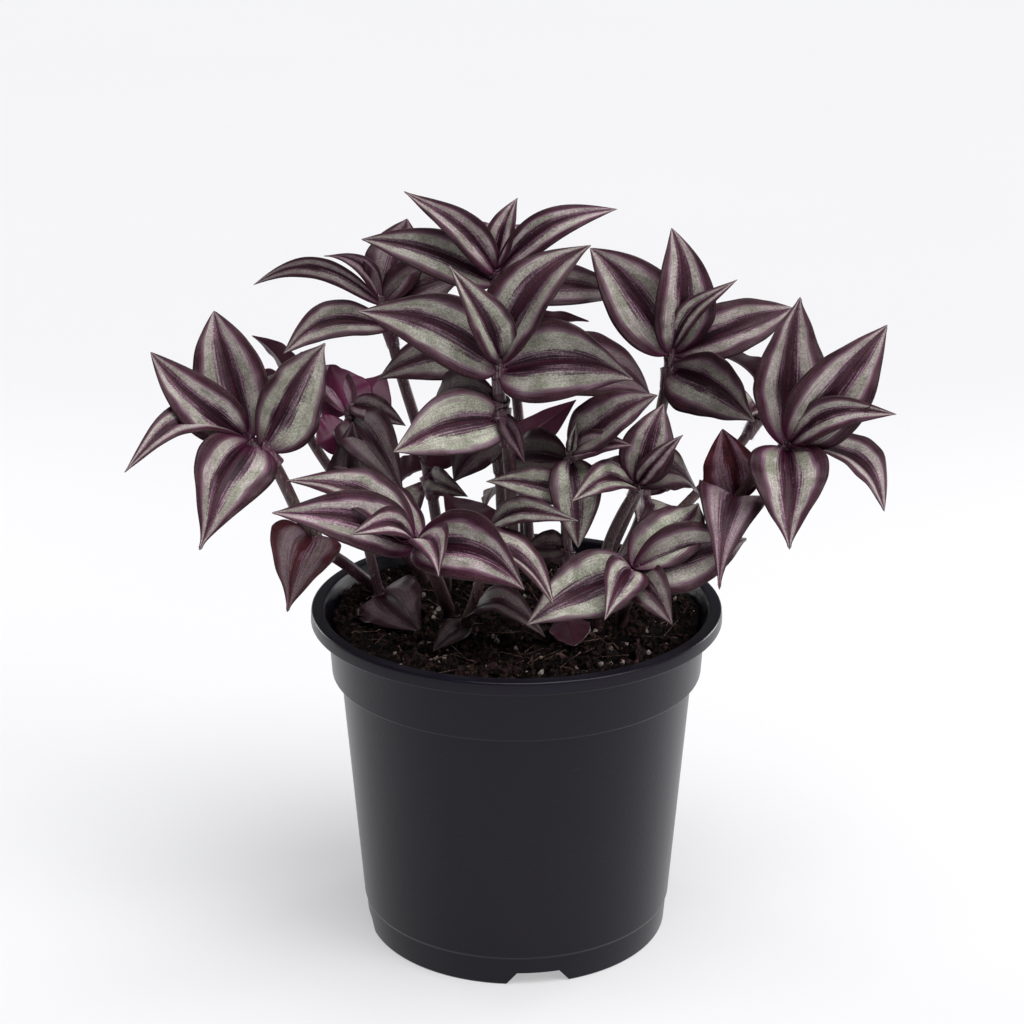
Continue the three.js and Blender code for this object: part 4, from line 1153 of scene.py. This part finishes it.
def sheath_shape():
    """A sheath for a stem of radius 1: a thin sleeve that opens towards +X, where the leaf leaves it."""
    body = bmesh.new()
    rings = []
    for height, radius, slant in SHEATH_RINGS:
        ring = []
        for x, y in circle(1.0, SHEATH_SIDES) if radius > 0 else [(0, 0)]:
            open_side = 0.5 + 0.5 * x
            wide = radius * (1 + 0.10 * open_side * slant)
            ring.append(body.verts.new((wide * x, wide * y, height + slant * (open_side - 0.4))))
        rings.append(ring)
    for low, high in zip(rings, rings[1:]):
        bridge(body, low, high)
    return new_object("sheath", mesh_from(body, "sheath"))


def make_stem(name, shoot, tree):
    root = np.array(shoot["stem"][0], float)
    places = [(root - [0, 0, depth], stem_girth(shoot, 0)) for depth in STEM_ROOT]
    places += [(stem_point(shoot["stem"], k / STEM_STEPS), stem_girth(shoot, k / STEM_STEPS))
               for k in range(STEM_STEPS + 1)]
    mesh = bpy.data.meshes.new(name)
    mesh.from_pydata([tuple(p * MM) for p, _ in places], [(k, k + 1) for k in range(len(places) - 1)], [])
    store(mesh, "half_girth", "FLOAT", [girth * MM for _, girth in places])
    line = new_object(name, mesh)
    use_tree(line, tree, {"Sides": STEM_SIDES, "Finish": STEM_SKIN})
    return plain_mesh(line, name.replace("shoot", "stem"))


def make_sheaths(name, shoot, tree, shape):
    places, ways, turns, girths = [], [], [], []
    for place, tip, *_ in shoot["rows"].values():
        here = stem_point(shoot["stem"], place)
        places.append(tuple(here * MM))
        ways.append(stem_way(shoot["stem"], place))
        turns.append(unit(np.array(tip, float) - here))
        girths.append(stem_girth(shoot, place) * MM)
    mesh = bpy.data.meshes.new(name)
    mesh.from_pydata(places, [], [])
    store(mesh, "stem_way", "FLOAT_VECTOR", ways)
    store(mesh, "leaf_way", "FLOAT_VECTOR", turns)
    store(mesh, "half_girth", "FLOAT", girths)
    joints = new_object(name, mesh)
    use_tree(joints, tree, {"Sheath": shape, "Finish": SHEATH_SKIN})
    return plain_mesh(joints, name.replace("shoot", "sheaths"))


# ---- leaves

BLADE_ROWS = 36         # rows of faces along a blade
HALF_COLUMNS = 9        # columns of faces from its rib to an edge
RIPPLE = 0.024          # the edge's waves, as a share of the blade's width
TIP_CAP = 0.024         # the point's round cap, as a share of the blade's width
STALK = 0.9             # half the blade's width where it leaves its joint
THINNEST = 0.08         # the least that half the width comes to before the point
TWIST = 7               # the most that a blade twists, in degrees
UNTWISTED = 0.4         # where along a blade it isn't twisted
CURL_FROM = 0.72        # where along a blade its point starts to bend
TIP_BEND = 0.030        # how far the point bends down, as a share of the blade's length
OWN_BEND = 0.012        # and how far that differs from leaf to leaf
TIP_DRIFT = 0.028       # the most that the point bends sideways
TIP_REACH = 0.98        # share of the way to its end point that the rib is laid along
BLADE_HALF = 0.17       # half the blade's thickness
RIB_DEPTH = 0.16        # of the ridge below; the groove above is about a third of it
RIB_WIDTH = 0.16        # as a share of half the blade's width


def half_width(t, width, taper, length):
    """Half the blade's width, with a small round cap on the point."""
    pointed = BLUNT * (1 - BROADEST) / BROADEST * taper
    widest = BLUNT / (BLUNT + pointed)
    inside = np.clip(t, 1e-6, 1 - 1e-6)
    swell = (inside / widest) ** BLUNT * ((1 - inside) / (1 - widest)) ** pointed
    half = np.maximum(THINNEST + STALK * (1 - inside) ** 8, width / 2 * swell)
    cap = TIP_CAP * width
    end = np.clip((inside - 1 + cap / length) / (cap / length), 0, 1)
    return (half ** 3 + (cap * np.sqrt(1 - end * end) * np.clip(inside * 2, 0, 1)) ** 3) ** (1 / 3)


def blade_grid(points, row, light, number):
    """The middle face of a blade: its points, and the places t along and u across that they stand for."""
    place, tip, width, arch, roll, sweep, taper, fold = row
    base = stem_point(points, place)
    along = np.array(tip, float) - base
    length = np.linalg.norm(along)
    along = along / length
    face = unit(light - along * (light @ along))
    turn = math.radians(roll)
    face, side = (face * math.cos(turn) + np.cross(along, face) * math.sin(turn),
                  np.cross(along, face) * math.cos(turn) - face * math.sin(turn))

    even = np.linspace(0, 1, BLADE_ROWS + 1)
    t = (0.55 * even + 0.45 * (0.5 - 0.5 * np.cos(np.pi * even)))[:, None]
    across = np.linspace(-1, 1, 2 * HALF_COLUMNS + 1)
    u = (np.sign(across) * (1 - (1 - np.abs(across)) ** 1.15))[None, :]
    half = half_width(t, width, taper, length)
    rise = np.radians(fold) * (1 + 0.6 * (1 - t) ** 3)
    flat = half * np.cos(rise) * u
    lift = half * np.sin(rise) * (1.5 * np.abs(u) - 0.5 * u * u)
    ripple = np.sin(2 * np.pi * (2.1 * t + 0.2 * u) + 6 * wobble(number, 1))
    ripple = ripple + 0.6 * np.sin(2 * np.pi * (4.3 * t - 0.3 * u) + 6 * wobble(number, 5))
    ripple = RIPPLE * width * ripple * np.sin(np.pi * t)
    lift = lift + ripple * u * u
    twist = np.radians(TWIST * wobble(number, 2)) * (t - UNTWISTED)
    flat, lift = flat * np.cos(twist) - lift * np.sin(twist), flat * np.sin(twist) + lift * np.cos(twist)

    bow = np.sin(np.pi * t) * length
    curl = np.clip((t - CURL_FROM) / (1 - CURL_FROM), 0, 1) ** 2 * length
    droop = arch * bow - (TIP_BEND + OWN_BEND * wobble(number, 4)) * curl
    drift = sweep * bow + TIP_DRIFT * wobble(number, 3) * curl
    centre = base + along * (TIP_REACH * length * t) + face * droop + side * drift
    return centre[:, None, :] + face * lift[..., None] + side * flat[..., None], t, u, half


def grid_faces(grid, flip):
    """The four corners of each face of a grid of numbers or of places on the leaf's map."""
    a, b = grid[:-1, :-1], grid[1:, :-1]
    c, d = grid[1:, 1:], grid[:-1, 1:]
    order = (a, d, c, b) if flip else (a, b, c, d)
    return np.stack(order, 2).reshape(-1, 4, *grid.shape[2:])


def leaf_blade(points, row, light, number):
    """Corners, faces, map and skins of one closed thin blade, in millimetres."""
    grid, t, u, half = blade_grid(points, row, light, number)
    normal = np.cross(np.gradient(grid, axis=1), np.gradient(grid, axis=0))
    normal /= np.maximum(np.linalg.norm(normal, axis=2, keepdims=True), 1e-9)
    rib = RIB_DEPTH * np.exp(-(u / RIB_WIDTH) ** 2) * (1 - t) ** 0.7
    thick = (BLADE_HALF * (1 - np.abs(u) ** 5) * np.ones_like(t))[..., None]
    upper = grid + normal * (thick - 0.35 * rib[..., None])
    lower = grid - normal * (thick + rib[..., None] * np.minimum(1, half / 2)[..., None])

    # the two skins share the corners along the blade's edge
    size = grid.shape[:2]
    top = np.arange(size[0] * size[1]).reshape(size)
    inner = np.zeros(size, bool)
    inner[1:-1, 1:-1] = True
    under = top.copy()
    under[inner] = top.size + np.arange(inner.sum())
    corners = np.concatenate([np.where(inner[..., None], upper, grid).reshape(-1, 3), lower[inner]])
    leaf_map = np.stack(np.broadcast_arrays(0.5 + 0.5 * u, t), -1)
    faces = np.concatenate([grid_faces(top, True), grid_faces(under, False)])
    maps = np.concatenate([grid_faces(leaf_map, True), grid_faces(leaf_map, False)])
    return corners, faces, maps, np.repeat([0, 1], len(faces) // 2)


def round_rows(shoot):
    """The leaves of a round shoot: each a golden turn on from the last, lower and flatter each time."""
    crown, seed = shoot["stem"][-1], shoot["seed"]
    rows = {}
    for k in range(shoot["leaf_count"]):
        heading = math.radians(shoot["turn"] + GOLDEN_TURN * k + 10 * wobble(seed, k))
        spread = shoot["reach"] * (0.9 + 0.12 * wobble(seed, k + 10)) * (FIRST_REACH if k == 0 else 1)
        rise = shoot["reach"] * (FIRST_RISE + (LAST_RISE - FIRST_RISE) * k / (shoot["leaf_count"] - 1))
        tip = [crown[0] + spread * math.cos(heading), crown[1] + spread * math.sin(heading), crown[2] + rise]
        width = ROUND_WIDTH * (FIRST_WIDTH if k == 0 else 1) * (1 + 0.08 * wobble(seed, k + 20))
        rows[f"round_{k}"] = [TOP_JOINT - LEAF_STEP * k, tip, width, ROUND_ARCH,
                              8 * wobble(seed, k + 30), 0, ROUND_TAPER, ROUND_FOLD]
    return rows


def make_leaves(name, shoot, light, number):
    """All the blades of a shoot as one piece, each with its own look on its points."""
    blades, looks_and_shade, owns, reds = [], [], [], []
    for k, (leaf, row) in enumerate(shoot["rows"].items()):
        blade = leaf_blade(shoot["stem"], row, light, number * 10 + k)
        count = len(blade[0])
        blades.append(blade)
        looks_and_shade.append(np.tile(look_of(name, leaf), (count, 1)))
        owns.append(np.full(count, 3.0 + 5 * wobble(number, k + 40)))
        reds.append(np.full(count, float(f"{name}.{leaf}" in RED_LEAVES)))
    corners, faces, maps, skins = zip(*blades)
    starts = np.cumsum([0] + [len(c) for c in corners])
    faces = np.concatenate([f + start for f, start in zip(faces, starts)])
    mesh = bpy.data.meshes.new(name.replace("shoot", "leaves"))
    mesh.from_pydata((np.concatenate(corners) * MM).tolist(), [], faces.tolist())
    mesh.uv_layers.new(name="leaf_map").data.foreach_set("uv", np.concatenate(maps).ravel())
    mesh.polygons.foreach_set("material_index", np.concatenate(skins))
    store(mesh, "leaf_tone", "FLOAT_COLOR", np.concatenate(looks_and_shade))
    store(mesh, "leaf_own", "FLOAT", np.concatenate(owns))
    store(mesh, "leaf_red", "FLOAT", np.concatenate(reds))
    mesh.materials.append(LEAF_UPPER)
    mesh.materials.append(LEAF_UNDER)
    mesh.shade_smooth()
    mesh.update()
    finish_piece(new_object(mesh.name, mesh), "foliage", name)


def make_foliage():
    stem_tree, sheath_tree, hair_tree = make_stem_tree(), make_sheath_tree(), make_hair_tree()
    shape = sheath_shape()
    for number, (name, shoot) in enumerate({**SHOOTS, **ROUND_SHOOTS}.items()):
        shoot["rows"] = shoot["leaves"] if "leaves" in shoot else round_rows(shoot)
        light = unit(np.array(shoot.get("light", FRONT_LIGHT), float))
        make_leaves(name, shoot, light, number)
        stem = make_stem(name, shoot, stem_tree)
        sheaths = make_sheaths(name, shoot, sheath_tree, shape)
        hairs = new_object("hair_ground", sheaths.data.copy())
        use_tree(hairs, hair_tree, {**HAIRS, "Seed": number, "Finish": HAIR_FINISH})
        hairs = plain_mesh(hairs, name.replace("shoot", "hairs"))
        for made in (stem, sheaths, hairs):
            finish_piece(made, "foliage", name)
    bpy.data.objects.remove(shape)


# ---- floor, light and camera

FLOOR_HALF = 20         # metres from the pot to the floor's edges
BACKDROP = (0.93, 0.94, 0.97, 1)
BACKDROP_STRENGTH = 0.15
PLANT_MIDDLE = (0, 0, 0.09)
LAMP_SPREAD = 70        # degrees
CAMERA_PLACE = (-0.00112, -0.5341, 0.2957)
CAMERA_TILT = 70.8      # degrees from straight down
CAMERA_LENS = 80.86     # millimetres, for a picture 36 mm wide


def make_stage():
    far = FLOOR_HALF
    mesh = bpy.data.meshes.new("floor")
    mesh.from_pydata([(-far, -far, 0), (far, -far, 0), (far, far, 0), (-far, far, 0)], [], [(0, 1, 2, 3)])
    mesh.materials.append(make_floor_finish())
    floor = new_object("floor", mesh)

    world = bpy.data.worlds.new("studio")
    world.use_nodes = True
    backdrop = world.node_tree.nodes["Background"]
    backdrop.inputs[0].default_value = BACKDROP
    backdrop.inputs[1].default_value = BACKDROP_STRENGTH
    bpy.context.scene.world = world


def add_lamp(name, kind, place, aim, power, colour=(1, 1, 1)):
    lamp = bpy.data.lights.new(name, kind)
    lamp.energy = power
    lamp.color = colour
    made = new_object(name, lamp)
    made.location = place
    made.rotation_euler = (Vector(aim) - Vector(place)).to_track_quat("-Z", "Y").to_euler()
    return lamp


def broad_light(name, place, strength, spread, colour=(1, 1, 1)):
    """Even light from one side over the whole floor; spread is how wide its source looks, in degrees."""
    lamp = add_lamp(name, "SUN", place, (0, 0, 0), strength, colour)
    lamp.angle = math.radians(spread)


def soft_light(name, place, size, power):
    """A lamp in a box, aimed at the middle of the plant."""
    lamp = add_lamp(name, "AREA", place, PLANT_MIDDLE, power)
    lamp.shape = "RECTANGLE"
    lamp.size, lamp.size_y = size
    lamp.spread = math.radians(LAMP_SPREAD)


def make_lights():
    broad_light("overhead", (0.18, -0.20, 1.0), 2.74, 48)
    broad_light("key", (0.8, -0.50, 0.60), 0.92, 30, (1.0, 0.985, 0.965))
    soft_light("left_softbox", (-0.62, 0.56, 0.20), (0.22, 0.36), 0.28)
    soft_light("right_softbox", (0.64, 0.50, 0.20), (0.26, 0.36), 0.44)


def make_camera():
    lens = bpy.data.cameras.new("photo_view")
    lens.sensor_width = 36
    lens.lens = CAMERA_LENS
    lens.clip_start = 0.01
    lens.dof.use_dof = False
    camera = new_object("photo_view", lens)
    camera.location = CAMERA_PLACE
    camera.rotation_euler = (math.radians(CAMERA_TILT), 0, 0)
    bpy.context.scene.camera = camera
    bpy.context.scene.view_settings.view_transform = "Standard"


make_camera()
make_stage()
make_lights()
make_pot()
make_potting_mix()
make_foliage()
